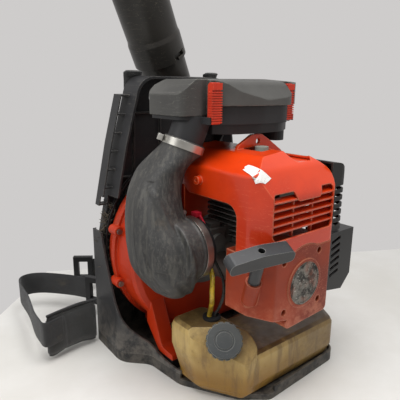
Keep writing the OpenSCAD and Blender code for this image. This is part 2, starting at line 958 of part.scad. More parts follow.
function filter_side(inset) = rounded([
  [-108 + inset, lobe_low - 3, 0],
  [-108 + inset, filter_top - 34, 14],
  [-84 + inset, filter_top - 6 - inset, 22],
  [-50, filter_top - inset, 30],
  [12, filter_top - inset, 20],
  [40 - inset, filter_top - 16, 12],
  [40 - inset, lobe_low - 3, 0]]);

function filter_face(inset) = rounded([
  [-129 + inset, lobe_low - 3, 0],
  [-129 + inset, filter_top - 26, 6],
  [-101, filter_top - 2 - inset, 10],
  [60, filter_top - inset, 40],
  [112, filter_top - 4 - inset, 16],
  [140 - inset, filter_top - 28, 14],
  [140 - inset, lobe_low - 3, 0]]);

module filter_form(inset) {
  intersection() {
    union() {
      linear_extrude(600) polygon(filter_plan(inset));
      linear_extrude(600) polygon(lobe_plan(inset));
    }
    along_x(-200, 200) polygon(filter_side(inset));
    along_y(-200, 200) polygon(filter_face(inset));
  }
}

module filter_cover() {
  color(dark_grey)
    difference() {
      filter_form(0);
      filter_form(cover_wall);
      translate([-200, -200, 0]) cube([400, 400, lobe_low]);
      // the lower edge rises between the latches
      translate([-76, -200, 0])
        along_y(0, 400)
          polygon(rounded([[0, 0, 0], [202, 0, 0], [202, lobe_low + 15, 12], [0, lobe_low + 15, 12]]));
      latch_slots();
    }
}

left_latch_x = -80;
right_latch_x = 88;
latch_y = -80;
latch_low = filter_low + 2;
latch_high = filter_top - 5;

module latch_slots() {
  for (x = [left_latch_x, right_latch_x])
    translate([x - latch_w / 2 - 1.5, latch_y - 60, latch_low - 4])
      cube([latch_w + 3, 69, latch_high - latch_low + 16]);
}

// Bowl under the filter box, and the rounded hood at its right end
module filter_bowl(inset) {
  low = filter_low - 16 + inset;
  intersection() {
    translate([0, 0, low]) linear_extrude(filter_low - low + 1) polygon(filter_plan(17 + inset));
    translate([-62 + inset, -120, 0]) cube([300, 120 - 4 - inset, 600]);
  }
  translate([0, 0, filter_low - 36 + inset])
    linear_extrude(37 - inset)
      polygon(rounded([
        [85 + inset, -64 + inset, 14], [116, -58 + inset, 16],
        [128 - inset, -4 - inset, 14], [85 + inset, -4 - inset, 8]]));
}

module filter_base() {
  color(near_black) {
    difference() {
      union() {
        filter_bowl(0);
        translate([0, 0, filter_low])
          linear_extrude(lobe_low + 14.5 - filter_low) polygon(filter_plan(8));
        translate([0, 0, lobe_low - 6])
          linear_extrude(5.5) polygon(lobe_plan(3));
        aim(stub_foot, stub_axis)
          translate([0, 0, -58]) cylinder(h = 54.5, r = elbow_top_r - elbow_wall - 0.1);
      }
      translate([0, 0, filter_low + 4])
        linear_extrude(60) polygon(filter_plan(11));
      intersection() {
        filter_bowl(3);
        translate([-50, -66, 0]) cube([166, 54, 600]);
      }
      translate([-44, -56, filter_low - 1]) cube([132, 44, 8]);
      translate([-300, -300, lobe_low - 0.5]) cube([222, 600, 100]);
      aim(stub_foot, stub_axis)
        translate([0, 0, -90]) cylinder(h = 100, r = elbow_top_r - elbow_wall - 3);
      latch_slots();
    }
    // backs of the latch recesses, with the hinge pins
    for (x = [left_latch_x, right_latch_x]) {
      translate([x - latch_w / 2 - 4, latch_y + 9, latch_low])
        cube([latch_w + 8, 4, 11]);
      for (side = [-1, 1])
        translate([x + side * (latch_w / 2 + 2.4) - 1.6, latch_y - 6, latch_low])
          cube([3.2, 18, 11]);
      rod_x(latch_y - 1, latch_low + 6, x - latch_w / 2 - 3, x + latch_w / 2 + 3, 2);
    }
  }
}

module latch(x) {
  face = latch_high - latch_low;
  rib = (face - 16) / latch_ribs;
  color(orange)
    difference() {
      union() {
        along_x(x - latch_w / 2, x + latch_w / 2)
          polygon(rounded([
            [latch_y - 6, latch_low, 2], [latch_y + 4, latch_low, 2],
            [latch_y + 4, latch_high - 6, 2], [latch_y - 2, latch_high, 4],
            [latch_y - 6, latch_high - 6, 2]]));
        for (i = [0:latch_ribs - 1])
          translate([x - latch_w / 2 - 0.8, latch_y - 8.5, latch_low + 2 + i * rib])
            cube([latch_w + 1.6, 11, rib * 0.55]);
        translate([x - latch_w / 2, latch_y - 9, latch_high - 13])
          cube([latch_w, 6, 10]);
      }
      rod_x(latch_y - 1, latch_low + 6, x - latch_w, x + latch_w, 2 + run_gap);
    }
}

module left_latch() {
  latch(left_latch_x);
}

module right_latch() {
  latch(right_latch_x);
}

module filter_element() {
  color([0.75, 0.72, 0.60])
    translate([0, 0, filter_low + 4])
      linear_extrude(46)
        polygon(rounded([[-60, -66, 8], [95, -66, 8], [95, 24, 8], [-60, 24, 8]]));
}

module filter_bracket() {
  color(near_black)
    difference() {
      union() {
        along_y(44, 50)
          polygon(rounded([
            [-62, crank_z + 120, 0], [62, crank_z + 120, 0],
            [48, filter_low, 0], [-48, filter_low, 0]]));
        translate([-48, 0, filter_low - 5])
          cube([96, 50, 5]);
        for (x = [-40, 36])
          along_x(x, x + 4)
            polygon([[46, filter_low - 60], [46, filter_low - 3], [8, filter_low - 3]]);
      }
      scroll_along_y(0, 80, -0.1);
    }
}

// ---- engine cover ----

function cover_face(inset) = rounded([
  [-90 + inset, crank_z + 30, 0],
  [80 - inset, crank_z + 30, 0],
  [80 - inset, 372 - inset, 16],
  [52, 396 - inset, 24],
  [14, 404 - inset, 30],
  [-44, 400 - inset, 24],
  [-90 + inset, 378 - inset, 7]], 4);

function cover_side(inset) = rounded([
  [cover_front + inset, crank_z + 30, 0],
  [cover_front + inset + 1, 345, 26],
  [-176 + inset, 384 - inset, 30],
  [-142, 406 - inset, 30],
  [20 - inset, 410 - inset, 0],
  [20 - inset, crank_z + 30, 0]], 4);

module cover_form(inset) {
  intersection() {
    along_y(-260, 60) polygon(cover_face(inset));
    along_x(-120, 120) polygon(cover_side(inset));
    linear_extrude(500)
      polygon(rounded([
        [-90 + inset, 20 - inset, 0],
        [-90 + inset, -170, 14],
        [-70 + inset, cover_front + inset, 16],
        [80 - inset, cover_front + inset, 16],
        [80 - inset, 20 - inset, 0]], 4));
  }
}

grille_low = 285;
grille_high = 353;

module engine_cover() {
  bar_pitch = (grille_high - grille_low) / (grille_bars + 1);
  color(orange) {
    difference() {
      cover_form(0);
      cover_form(cover_wall);
      // lower edge follows the seam with the starter cover
      along_y(-260, 100)
        polygon(concat(
          [[-200, 0], [200, 0], [200, seam_z(86) + seam_gap]],
          [for (i = [0:20]) let (x = 86 - i * 9) [x, seam_z(x) + seam_gap]],
          [[-200, seam_z(-94) + seam_gap]]));
      // carburettor bay on the left
      along_x(-120, -60)
        polygon(rounded([
          [60, 200, 0], [-146, 200, 0], [-146, 331, 22], [-30, 331, 12], [-22, 342, 8], [60, 342, 0]]));
      // muffler bay on the right
      along_x(60, 120)
        polygon(rounded([[60, 200, 0], [-150, 200, 0], [-150, 356, 20], [60, 356, 0]]));
      // grille opening with its dropped centre tab
      along_y(-260, -170)
        polygon(rounded([
          [-70, grille_low, 8], [70, grille_low, 8], [70, grille_high, 6],
          [42, grille_high, 3], [34, grille_high - 15, 5], [-18, grille_high - 15, 5],
          [-24, grille_high, 3], [-70, grille_high, 6]]));
      // dished recess that opens over the plug boot
      translate([32, -150, 388])
        cylinder(h = 40, r = 24);
      translate([8, -150, 388])
        cube([48, 60, 40]);
      translate([plug_x - 26, plug_y - 38, 380])
        cube([54, 66, 50]);
      rod_x(-60, 356, -100, -80, 2.5);
    }
    // left lug
    difference() {
      rod_x(-60, 356, -98, -87.5, 7);
      rod_x(-60, 356, -99, -80, 2.5);
    }
    // floor of the recess
    difference() {
      translate([8, -172, 384])
        cube([48, 60, 3]);
      translate([-20, -300, 380]) cube([100, 129, 10]);
    }
    for (i = [1:grille_bars])
      translate([-71, cover_front + 4, grille_low + i * bar_pitch - 2])
        rotate([18, 0, 0])
          cube([142, 12, 2.6]);
    for (x = [-22, 24])
      translate([x, cover_front + 8, grille_low - 2])
        cube([2, 6, grille_high - grille_low - 10]);
    // rear lug
    difference() {
      along_y(-82, -76)
        polygon(rounded([
          [-30, 398, 0], [79, 368, 0], [79, 392, 5], [44, 414, 10], [26, 424, 8], [4, 424, 8], [-30, 406, 10]]));
      rod_y(18, 412, -84, -74, 5);
      cover_form(0.1);
    }
  }
}

// ---- starter ----

starter_back = plate_front;

function starter_face(inset) = concat(
  rounded([
    [-64 + inset, crank_z - 71 + inset, 8],
    [65 - inset, crank_z - 67 + inset, 10],
    [84 - inset, crank_z - 42, 20],
    [84 - inset, crank_z, 0]]),
  [for (i = [0:20]) let (x = 84 - inset - i * (174 - 2 * inset) / 20) [x, seam_z(x) - inset]],
  [[-90 + inset, crank_z - 40]]);

module starter_form(inset) {
  intersection() {
    along_y(-260, starter_back) polygon(starter_face(inset));
    linear_extrude(500)
      polygon(rounded([
        [-90 + inset, starter_back + 1, 0],
        [-90 + inset, -172, 6],
        [-64 + inset * 0.8, cover_front + inset, 6],
        [70, cover_front + inset, 8],
        [84 - inset, -190, 10],
        [84 - inset, starter_back + 1, 0]], 4));
  }
}

module starter_cover() {
  color(faded_orange)
    difference() {
      union() {
        difference() {
          starter_form(0);
          starter_form(cover_wall);
          translate([-200, plate_front - 2, 0]) cube([400, 10, 500]);
        }
        intersection() {
          union() {
            for (p = starter_posts)
              rod_y(p.x, p.y, cover_front + 1, plate_front, 9);
            // reel boss
            rod_y(0, crank_z, cover_front + 1, -172, 7);
            // raised ring round the bare disc
            rod_y(disc_x, crank_z - 2, cover_front - 1.5, cover_front + 2, disc_r + 5);
          }
          translate([-90, cover_front - 1.5, 100]) cube([174, 79, 164]);
        }
        rope_outlet(guide_r + cover_wall, -44, 0);
      }
      rod_y(disc_x, crank_z - 2, cover_front - 3, cover_front + 0.5, disc_r + 0.1);
      for (p = starter_posts)
        rod_y(p.x, p.y, cover_front - 2, cover_front + 12, 5.5);
      rope_outlet(guide_r, -12, 1);
      rope_outlet(guide_r - 3, -60, 1);
    }
}

pull_axis = [sin(pull_tilt) * cos(pull_turn), sin(pull_tilt) * sin(pull_turn), cos(pull_tilt)];
guide_point = grip_centre - grip_drop * pull_axis;
guide_r = 9;

// Rope outlet at the cover's corner, in line with the pull
module rope_outlet(r, low, high) {
  aim(guide_point, pull_axis)
    translate([0, 0, low]) cylinder(h = high - low, r = r);
}

module cover_disc() {
  color([0.45, 0.43, 0.38])
    difference() {
      rod_y(disc_x, crank_z - 2, cover_front - 2, cover_front + 0.5, disc_r);
      translate([disc_x, cover_front - 2, crank_z - 2])
        rotate([90, 0, 0])
          rotate_extrude() translate([disc_r - 4, -0.6]) square([1.4, 1.4]);
    }
}

module rope_guide() {
  color(dark_grey)
    difference() {
      rope_outlet(guide_r - run_gap, -11.9, 0);
      rope_outlet(3, -13, 1);
    }
}

module starter_grip() {
  bar = 50;
  color(mid_grey)
    translate(grip_centre)
      rotate([0, pull_tilt, pull_turn])
        rotate([0, 0, grip_spin])
          difference() {
            union() {
              rotate([90, 0, 0])
                translate([0, 0, -11])
                  linear_extrude(22)
                    polygon(rounded([
                      [-bar, -11, 7], [bar, -11, 7], [bar, 9, 9], [0, 14, 60], [-bar, 9, 9]]));
              translate([0, 0, soft_gap - grip_drop])
                cylinder(h = grip_drop - 5, r = guide_r);
            }
            translate([0, 0, -2]) cylinder(h = 30, r = 5);
            translate([0, 0, -grip_drop]) cylinder(h = 80, r = 2.2);
          }
}

module starter_reel() {
  reel_front = -196;
  color(near_black)
    difference() {
      union() {
        rod_y(0, crank_z, reel_front, reel_front + 3, 38);
        rod_y(0, crank_z, reel_front, reel_front + 22, 30);
        rod_y(0, crank_z, reel_front + 19, reel_front + 22, 38);
      }
      rod_y(0, crank_z, reel_front - 1, reel_front + 30, 7 + run_gap);
    }
}

// ---- fuel ----

low_plan = rounded([
  [-74, -174, 10], [138, -178, 16], [160, -140, 18], [160, -54, 14], [-100, -54, 0], [-118, -92, 0]]);

lobe_foot = rounded([
  [-140, -40, 16], [-140, -98, 26], [-86, -177, 12], [-62, -178, 8], [-62, -40, 14]]);

// An outline drawn in towards its middle by about the same distance on every side
function drawn_in(outline, inset) =
  let (xs = [for (p = outline) p.x],
    ys = [for (p = outline) p.y],
    middle = [max(xs) + min(xs), max(ys) + min(ys)] / 2,
    half = [max(xs) - min(xs), max(ys) - min(ys)] / 2)
  [for (p = outline)
    [middle.x + (p.x - middle.x) * (1 - inset / half.x),
    middle.y + (p.y - middle.y) * (1 - inset / half.y)]];

function tank_ring(outline, inset, z, shift = 0) =
  [for (p = drawn_in(outline, inset)) [p.x + shift, p.y, z]];

module tank_form(inset) {
  loft([
    tank_ring(low_plan, 12 + inset, tray_floor + 1.3 + inset),
    tank_ring(low_plan, 6.5 + inset, tray_floor + 6),
    tank_ring(low_plan, 5 + inset, tray_h + 2),
    tank_ring(low_plan, inset, tray_h + 14),
    tank_ring(low_plan, inset, tank_top - 10),
    tank_ring(low_plan, 3 + inset, tank_top - 3),
    tank_ring(low_plan, 10 + inset, tank_top - inset)]);
  difference() {
    loft([
      tank_ring(lobe_foot, 14 + inset, tray_floor + 1.5 + inset, 8),
      tank_ring(lobe_foot, 6 + inset, tray_floor + 10, 8),
      tank_ring(lobe_foot, 6 + inset, tray_h + 9, 8),
      tank_ring(lobe_foot, inset, tray_floor + 70),
      tank_ring(lobe_foot, inset, lobe_top - 12),
      tank_ring(lobe_foot, 3 + inset, lobe_top - 4),
      tank_ring(lobe_foot, 10 + inset, lobe_top - inset)]);
    aim(cap_centre - (12 + inset) * unit(cap_axis), cap_axis)
      translate([-80, -80, 0]) cube([160, 160, 80]);
  }
}

module fuel_tank() {
  wall = 2.5;
  color(cream)
    difference() {
      union() {
        tank_form(0);
        aim(cap_centre - 14 * unit(cap_axis), cap_axis)
          cylinder(h = 13, r = cap_r - 5);
      }
      tank_form(wall);
      aim(cap_centre - 24 * unit(cap_axis), cap_axis)
        cylinder(h = 30, r = cap_r - 9);
      translate([grommet_at.x, grommet_at.y, lobe_top - 10]) cylinder(h = 20, r = 11);
    }
}

grommet_at = [-86, -90];

module tank_grommet() {
  color(near_black)
    difference() {
      union() {
        translate([grommet_at.x, grommet_at.y, lobe_top - 8]) cylinder(h = 8, r = 11 - run_gap);
        translate([grommet_at.x, grommet_at.y, lobe_top]) cylinder(h = 4, r = 15);
      }
      for (p = [fuel_route[0], return_route[0]])
        translate([p.x, p.y, lobe_top - 10]) cylinder(h = 20, r = line_r + 0.3);
    }
}

module fuel_cap() {
  teeth = 16;
  color(mid_grey)
    aim(cap_centre, cap_axis)
      difference() {
        union() {
          translate([0, 0, -11.7]) cylinder(h = 16.7, r = cap_r - 2);
          translate([0, 0, -10])
            difference() {
              cylinder(h = 13, r = cap_r);
              for (i = [0:teeth - 1])
                rotate([0, 0, i * 360 / teeth])
                  translate([cap_r - 1.5, -2, -1]) cube([5, 4, 15]);
            }
        }
        translate([0, 0, -13]) cylinder(h = 15, r = cap_r - 5 + run_gap);
        translate([0, 0, 4]) rotate_extrude() translate([13, 0]) square([3, 2]);
      }
}

module cap_seal() {
  color(near_black)
    aim(cap_centre, cap_axis)
      difference() {
        translate([0, 0, -0.9]) cylinder(h = 2.4, r = cap_r - 5.5);
        translate([0, 0, -3]) cylinder(h = 6, r = cap_r - 10);
      }
}

// Hand-placed routes of the two lines between the tank and the carburettor
fuel_route = [[-89.5, -88, 122], [-89.5, -88, 131], [-91, -93, 145], [-96, -101, 162],
  [-97, -102, 180], [-88, -92, 200], [-78, -72, 215], [-76, -66, 222], [-76, -66, 227.7]];
return_route = [[-81, -93, 122], [-81, -93, 131], [-75, -97, 145], [-66, -96, 165],
  [-61, -88, 188], [-62, -74, 208], [-64, -66, 221], [-64, -66, 227.7]];

module fuel_line() {
  color([0.72, 0.60, 0.15])
    hose(route(fuel_route, 3), line_r);
}

module return_line() {
  color(near_black)
    hose(route(return_route, 3), line_r - 1.4);
}

// ---- outlet, flexible hose and tubes ----

module bend(r) {
  translate([outlet_end, outlet_y + elbow_bend, outlet_z])
    rotate([0, 0, -90])
      rotate_extrude(angle = 90) translate([elbow_bend, 0]) circle(r = r);
}

module outlet_elbow() {
  color(near_black) {
    // sleeve over the housing's collar
    difference() {
      rod_x(outlet_y, outlet_z, neck_x + 6, outlet_end + 4, outlet_r + 3);
      rod_x(outlet_y, outlet_z, neck_x + 5, outlet_end, outlet_r + 0.1);
      rod_x(outlet_y, outlet_z, outlet_end - 1, outlet_end + 5, outlet_r - 1.5);
    }
    difference() {
      bend(outlet_r);
      bend(outlet_r - fan_wall);
    }
    difference() {
      rod_y(elbow_exit.x, outlet_z, elbow_exit.y - 20, elbow_exit.y + cuff - 3, spigot);
      rod_y(elbow_exit.x, outlet_z, elbow_exit.y - 21, elbow_exit.y + cuff, spigot - fan_wall);
    }
  }
}

hose_first = elbow_exit + [0, cuff, 0];
hose_last = tube_start - cuff * tube_axis;
function hose_point(t) = bezier(hose_first, hose_first + [0, hose_pull, 0] * 0.75,
  hose_last - hose_pull * 0.75 * tube_axis, hose_last, t);
function hose_travel(t) = unit(hose_point(min(1, t + 0.01)) - hose_point(max(0, t - 0.01)));

module bellows() {
  sides = 20;
  rings = 2 * hose_ribs;
  color(near_black) {
    difference() {
      loft([for (i = [0:rings])
        let (t = i / rings)
        ring(hose_point(t), hose_travel(t), i % 2 == 0 ? hose_valley_r : hose_crest_r, sides, [0.6, -0.2, -0.5])]);
      loft([for (i = [-1:rings + 1])
        let (t = max(0, min(1, i / rings)), over = i < 0 ? -0.2 : (i > rings ? 0.2 : 0))
        ring(hose_point(t) + over * hose_travel(t), hose_travel(t), tube_r - 1, sides, [0.6, -0.2, -0.5])]);
    }
    // plain cuffs that are clamped on the elbow and the collar
    difference() {
      rod_y(elbow_exit.x, outlet_z, elbow_exit.y, elbow_exit.y + cuff, hose_valley_r);
      rod_y(elbow_exit.x, outlet_z, elbow_exit.y - 1, elbow_exit.y + cuff + 1, spigot + 0.1);
    }
    difference() {
      aim(hose_last, tube_axis) cylinder(h = cuff, r = hose_valley_r);
      aim(hose_last, tube_axis)
        translate([0, 0, -1]) cylinder(h = cuff + 2, r = tube_r + 1);
    }
  }
}

module hose_clamp() {
  color(steel)
    translate([elbow_exit.x, elbow_exit.y + 6, outlet_z])
      rotate([-90, 0, 0])
        rotate([0, 0, 60])
          band_clamp(hose_valley_r, 12);
}

module hose_collar() {
  color(dark_grey)
    tube_frame()
      difference() {
        union() {
          translate([0, 0, -cuff + 3]) cylinder(h = cuff, r = tube_r + 0.7);
          translate([0, 0, 0.5]) cylinder(h = collar_end, r = tube_r + 5);
          translate([0, 0, 0.5]) cylinder(h = 6, r = tube_r + 8);
        }
        translate([0, 0, -cuff]) cylinder(h = 2 * cuff, r = tube_r - tube_wall);
        translate([0, 0, 8]) cylinder(h = collar_end, r = tube_r + run_gap);
      }
}

module lower_tube() {
  color(near_black)
    tube_frame() {
      difference() {
        union() {
          translate([0, 0, 8.3]) cylinder(h = tube_length - 8.3, r = tube_r);
          // stop bead above the collar
          translate([0, 0, collar_end + 1]) cylinder(h = 4, r = tube_r + 2);
          for (a = [100, 280])
            rotate([0, 0, a])
              translate([tube_r - 1, 0, bayonet_at + 10])
                rotate([0, 90, 0])
                  cylinder(h = 8, r = 4);
        }
        translate([0, 0, 8]) cylinder(h = tube_length, r = tube_r - tube_wall);
      }
    }
}

nozzle_end = tube_length + nozzle_length;
tip_r = tube_r - 4;
tip_length = 35;

module upper_tube() {
  slot_w = 8.8;
  slot_turn = 25;
  slot_end = 6;
  sleeve = bayonet_at + 52;
  taper = bayonet_at + 201;
  color(near_black)
    tube_frame()
      difference() {
        rotate_extrude()
          polygon([
            [tube_r + run_gap, bayonet_at], [socket_r, bayonet_at],
            [socket_r, bayonet_at + 43], [tube_r + 3, sleeve],
            [tube_r + 3, taper], [tip_r, nozzle_end - tip_length], [tip_r, nozzle_end],
            [tip_r - 3, nozzle_end], [tip_r - 3, nozzle_end - tip_length], [tube_r, taper],
            [tube_r, tube_length + 0.3], [tube_r + run_gap, tube_length + 0.3]]);
        // bayonet slots: straight in, then round
        for (a = [100, 280])
          rotate([0, 0, a]) {
            rotate([0, 0, -slot_turn - slot_end])
              translate([0, 0, bayonet_at + 10 - slot_w / 2])
                rotate_extrude(angle = slot_turn + 2 * slot_end)
                  translate([tube_r - 3, 0]) square([20, slot_w]);
            rotate([0, 0, -slot_turn])
              translate([0, -slot_w / 2 + 0.2, bayonet_at - 1])
                cube([80, slot_w - 0.4, 9]);
          }
      }
}

// ---- control handle ----

grip_low = 105;
grip_high = 232;
grip_in = -tube_r - 43;
grip_out = grip_in - 36;
arm_low = 196;

module control_handle() {
  color(near_black)
    tube_frame()
      difference() {
        union() {
          // clamp ring round the tube
          translate([0, 0, arm_low]) cylinder(h = 30, r = tube_r + 5);
          translate([-12, grip_in - 4, arm_low]) cube([24, 44, 30]);
          linear_extrude_between(grip_low, grip_high)
            polygon(rounded([
              [-17, grip_in, 10], [17, grip_in, 10], [15, grip_out, 13], [-15, grip_out, 13]]));
        }
        translate([0, 0, arm_low - 1]) cylinder(h = 40, r = tube_r + 0.02);
        // trigger slot
        translate([-5.3, grip_out - 5, 150]) cube([10.6, 27, 52]);
        // stop switch well
        translate([-7.3, switch_y - 9.3, grip_high - 7]) cube([14.6, 18.6, 10]);
      }
  color(near_black)
    tube_frame() {
      rod_x(trigger_y, trigger_z, -8, 8, 2);
      rod_x(cruise_y, 216, 15, 24.5, 3);
      rod_x(switch_y, grip_high - 2, -8, 8, 1.5);
      // entry gland of the throttle cable
      translate([0, grip_in - 18, grip_low - 7]) cylinder(h = 8, r = 5);
    }
}

module linear_extrude_between(low, high) {
  translate([0, 0, low]) linear_extrude(high - low) children();
}

trigger_y = grip_in - 24;
trigger_z = 194;
cruise_y = grip_in - 13;
switch_y = grip_in - 15.7;

module throttle_trigger() {
  color(mid_grey)
    tube_frame()
      difference() {
        along_x(-5, 5)
          polygon(rounded([
            [trigger_y - 5, trigger_z + 5, 4], [trigger_y + 6, trigger_z + 5, 4],
            [trigger_y + 6, trigger_z - 12, 4], [trigger_y - 6, trigger_z - 36, 8],
            [trigger_y - 20, trigger_z - 41, 4], [trigger_y - 22, trigger_z - 36, 2],
            [trigger_y - 13, trigger_z - 14, 8]]));
        rod_x(trigger_y, trigger_z, -9, 9, 2 + run_gap);
      }
}

module cruise_lever() {
  color(orange)
    tube_frame()
      difference() {
        union() {
          rod_x(cruise_y, 216, 17.5, 23, 9);
          along_x(17.5, 23)
            polygon([
              [cruise_y - 8, 214], [cruise_y + 8, 214],
              [cruise_y + 5, 180], [cruise_y - 5, 180]]);
        }
        rod_x(cruise_y, 216, 17, 24, 3 + run_gap);
      }
}

module stop_switch() {
  color([0.75, 0.10, 0.10])
    tube_frame()
      difference() {
        along_x(-7, 7)
          polygon([
            [switch_y - 6.3, grip_high - 4], [switch_y + 5.7, grip_high - 4],
            [switch_y + 6.2, grip_high + 5], [switch_y - 0.3, grip_high + 1.5],
            [switch_y - 6.8, grip_high + 5]]);
        rod_x(switch_y, grip_high - 2, -9, 9, 1.5 + run_gap);
      }
}

// ---- harness ----

module on_frame() {
  translate([0, frame_y, 0])
    rotate([frame_lean, 0, 0])
      children();
}

// One flattened ring of a padded form: side x up points along the travel
function pad_ring(centre, side, up, half_w, half_t, count = 20, crown = 0.45) =
  [for (i = [0:count - 1])
    let (a = 360 * i / count)
    centre + side * half_w * sign(cos(a)) * pow(abs(cos(a)), crown)
      + up * half_t * sign(sin(a)) * pow(abs(sin(a)), 0.8)];

// Padded strip along a route; each row holds a point, half width and half thickness
module padded(rows, side) {
  last = len(rows) - 1;
  loft([for (i = [0:last])
    let (travel = unit(rows[min(last, i + 1)][0] - rows[max(0, i - 1)][0]),
      up = unit(cross(travel, side)))
    pad_ring(rows[i][0], cross(up, travel), up, rows[i][1], rows[i][2])]);
}

module back_pad() {
  low = 112;
  high = 404;
  channels = 5;
  steps = 30;
  rear = 6 + soft_gap;
  color(near_black)
    on_frame()
      difference() {
        padded([for (i = [0:steps])
          let (t = i / steps, sewn = abs(sin(180 * channels * t)))
          [[0, rear + 8, low + (high - low) * t],
          94 * pow(1 - pow(abs(2 * t - 1), 5), 0.3) + 6,
          2 + 6 * pow(sewn, 0.5)]], [1, 0, 0]);
        translate([-150, rear - 20, 0]) cube([300, 20, 600]);
      }
}

// Shoulder strap: up the rear of the pad, then over the frame's top edge
module shoulder_strap(x, half_w, half_t, top_y) {
  rear = 22 + 2 * soft_gap;
  steps = 3;
  bulge = 1.25;
  edge_y = 6.5 + half_t * bulge;
  path = route([
    [x, rear + half_t, 128], [x, rear + half_t + 1, 200], [x, rear + half_t, 300], [x, rear + half_t - 2, 400],
    [x, top_y + half_t, 465], [x, edge_y, 505], [x, edge_y - 2, frame_h + 8 + half_t * 0.3],
    [x, -3, frame_h + 1 + half_t * bulge]], steps);
  last = len(path) - 1;
  color(near_black)
    on_frame()
      padded([for (i = [0:last])
        let (t = i / last, end = min(1, 6 * t + 0.35, 6 * (1 - t) + 0.5))
        [path[i], half_w * pow(end, 0.3), half_t * end * (t > 0.7 ? bulge : 1)]], [1, 0, 0]);
}

module left_shoulder_strap() {
  shoulder_strap(-85, 24, 4.5, 10);
}

module right_shoulder_strap() {
  shoulder_strap(104, 23, 4.5, 10);
}

// A pad that stands on edge along a route on the ground
module standing_pad(points, low, high, half_t, steps = 3) {
  path = route([for (p = points) [p.x, p.y, (low + high) / 2]], steps);
  last = len(path) - 1;
  padded([for (i = [0:last])
    let (t = i / last, end = min(1, 5 * t + 0.4, 5 * (1 - t) + 0.4))
    [path[i], (high - low) / 2 * (0.82 + 0.18 * end), half_t * (0.3 + 0.7 * end)]], [0, 0, 1]);
}

left_pad_route = [[-174.5, 152], [-205, 158], [-245, 154], [-283, 146]];
right_pad_route = [[149.5, 171.9], [90, 200], [30, 262], [-20, 318]];
pad_half_t = 11;

module left_hip_pad() {
  color(near_black) standing_pad(left_pad_route, 0.2, 95, pad_half_t);
}

module right_hip_pad() {
  color(near_black) standing_pad(right_pad_route, 0.2, 93, pad_half_t);
}

module webbing(points, low) {
  path = route([for (p = points) [p.x, p.y, low + web_w / 2]], 4);
  last = len(path) - 1;
  loft([for (i = [0:last])
    let (travel = unit(path[min(last, i + 1)] - path[max(0, i - 1)]),
      out = cross(travel, [0, 0, 1]) * web_t / 2,
      up = [0, 0, web_w / 2])
    [path[i] - out - up, path[i] - out + up, path[i] + out + up, path[i] + out - up]]);
}

near_tail = [-142, 268];
far_tail = [-78, 366];

module hip_belt() {
  color(near_black) {
    webbing([[-286.6, 146.5], [-284, 190], [-272, 262], [-262, 345], [-240, 367], [-207, 354], [-165, 306], near_tail], 38);
    webbing([[-20.2, 318.5], [-48, 344], far_tail], 36);
  }
}

module buckle_half(at, turn) {
  translate([at.x, at.y, 30])
    rotate([0, 0, turn])
      difference() {
        translate([0.3, -6, 0]) cube([46, 12, web_w + 12]);
        translate([12, -7, 12]) cube([22, 14, web_w - 12]);
      }
}

module belt_buckle() {
  color(near_black) {
    buckle_half(near_tail, -59);
    buckle_half(far_tail, 143);
  }
}

back_frame();
base_tray();
isolators();
fan_housing_rear();
fan_housing_front();
inlet_guard();
screws();
impeller();
crankshaft();
flywheel();
crankcase();
finned_cylinder();
spark_plug();
plug_boot();
ignition_coil();
muffler();
muffler_guard();
muffler_shield();
carburetor();
choke_lever();
throttle_lever();
air_horn();
intake_elbow();
elbow_clamps();
filter_base();
filter_bracket();
filter_element();
filter_cover();
left_latch();
right_latch();
engine_cover();
starter_cover();
cover_disc();
rope_guide();
starter_grip();
starter_reel();
fuel_tank();
tank_grommet();
cap_seal();
fuel_cap();
fuel_line();
return_line();
outlet_elbow();
hose_clamp();
bellows();
hose_collar();
lower_tube();
control_handle();
throttle_trigger();
cruise_lever();
stop_switch();
upper_tube();
back_pad();
left_shoulder_strap();
right_shoulder_strap();
left_hip_pad();
right_hip_pad();
hip_belt();
belt_buckle();
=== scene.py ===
"""Looks of the backpack leaf blower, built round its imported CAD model."""

from math import cos, pi, radians, sin
from random import Random

import bmesh
import bpy
import numpy as np
from mathutils import Matrix, Vector
from mathutils.bvhtree import BVHTree

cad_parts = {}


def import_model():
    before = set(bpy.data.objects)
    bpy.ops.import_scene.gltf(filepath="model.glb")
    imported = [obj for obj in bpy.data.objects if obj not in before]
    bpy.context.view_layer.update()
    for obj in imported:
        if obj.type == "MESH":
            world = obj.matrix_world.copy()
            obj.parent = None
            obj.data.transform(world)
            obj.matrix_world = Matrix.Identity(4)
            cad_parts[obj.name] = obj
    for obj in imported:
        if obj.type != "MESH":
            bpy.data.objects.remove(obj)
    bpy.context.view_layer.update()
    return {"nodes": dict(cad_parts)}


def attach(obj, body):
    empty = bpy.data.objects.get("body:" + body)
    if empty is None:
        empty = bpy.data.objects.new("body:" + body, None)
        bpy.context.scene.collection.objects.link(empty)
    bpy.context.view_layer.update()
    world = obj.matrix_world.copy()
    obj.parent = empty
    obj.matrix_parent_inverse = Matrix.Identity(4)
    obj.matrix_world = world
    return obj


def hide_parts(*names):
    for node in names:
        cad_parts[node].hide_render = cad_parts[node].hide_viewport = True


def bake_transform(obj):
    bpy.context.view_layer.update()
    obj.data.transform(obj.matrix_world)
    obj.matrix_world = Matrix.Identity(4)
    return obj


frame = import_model()
NODE = frame["nodes"]
MM = 0.001

# ---------------------------------------------------------------- camera

scene = bpy.context.scene
scene.view_settings.view_transform = "Standard"

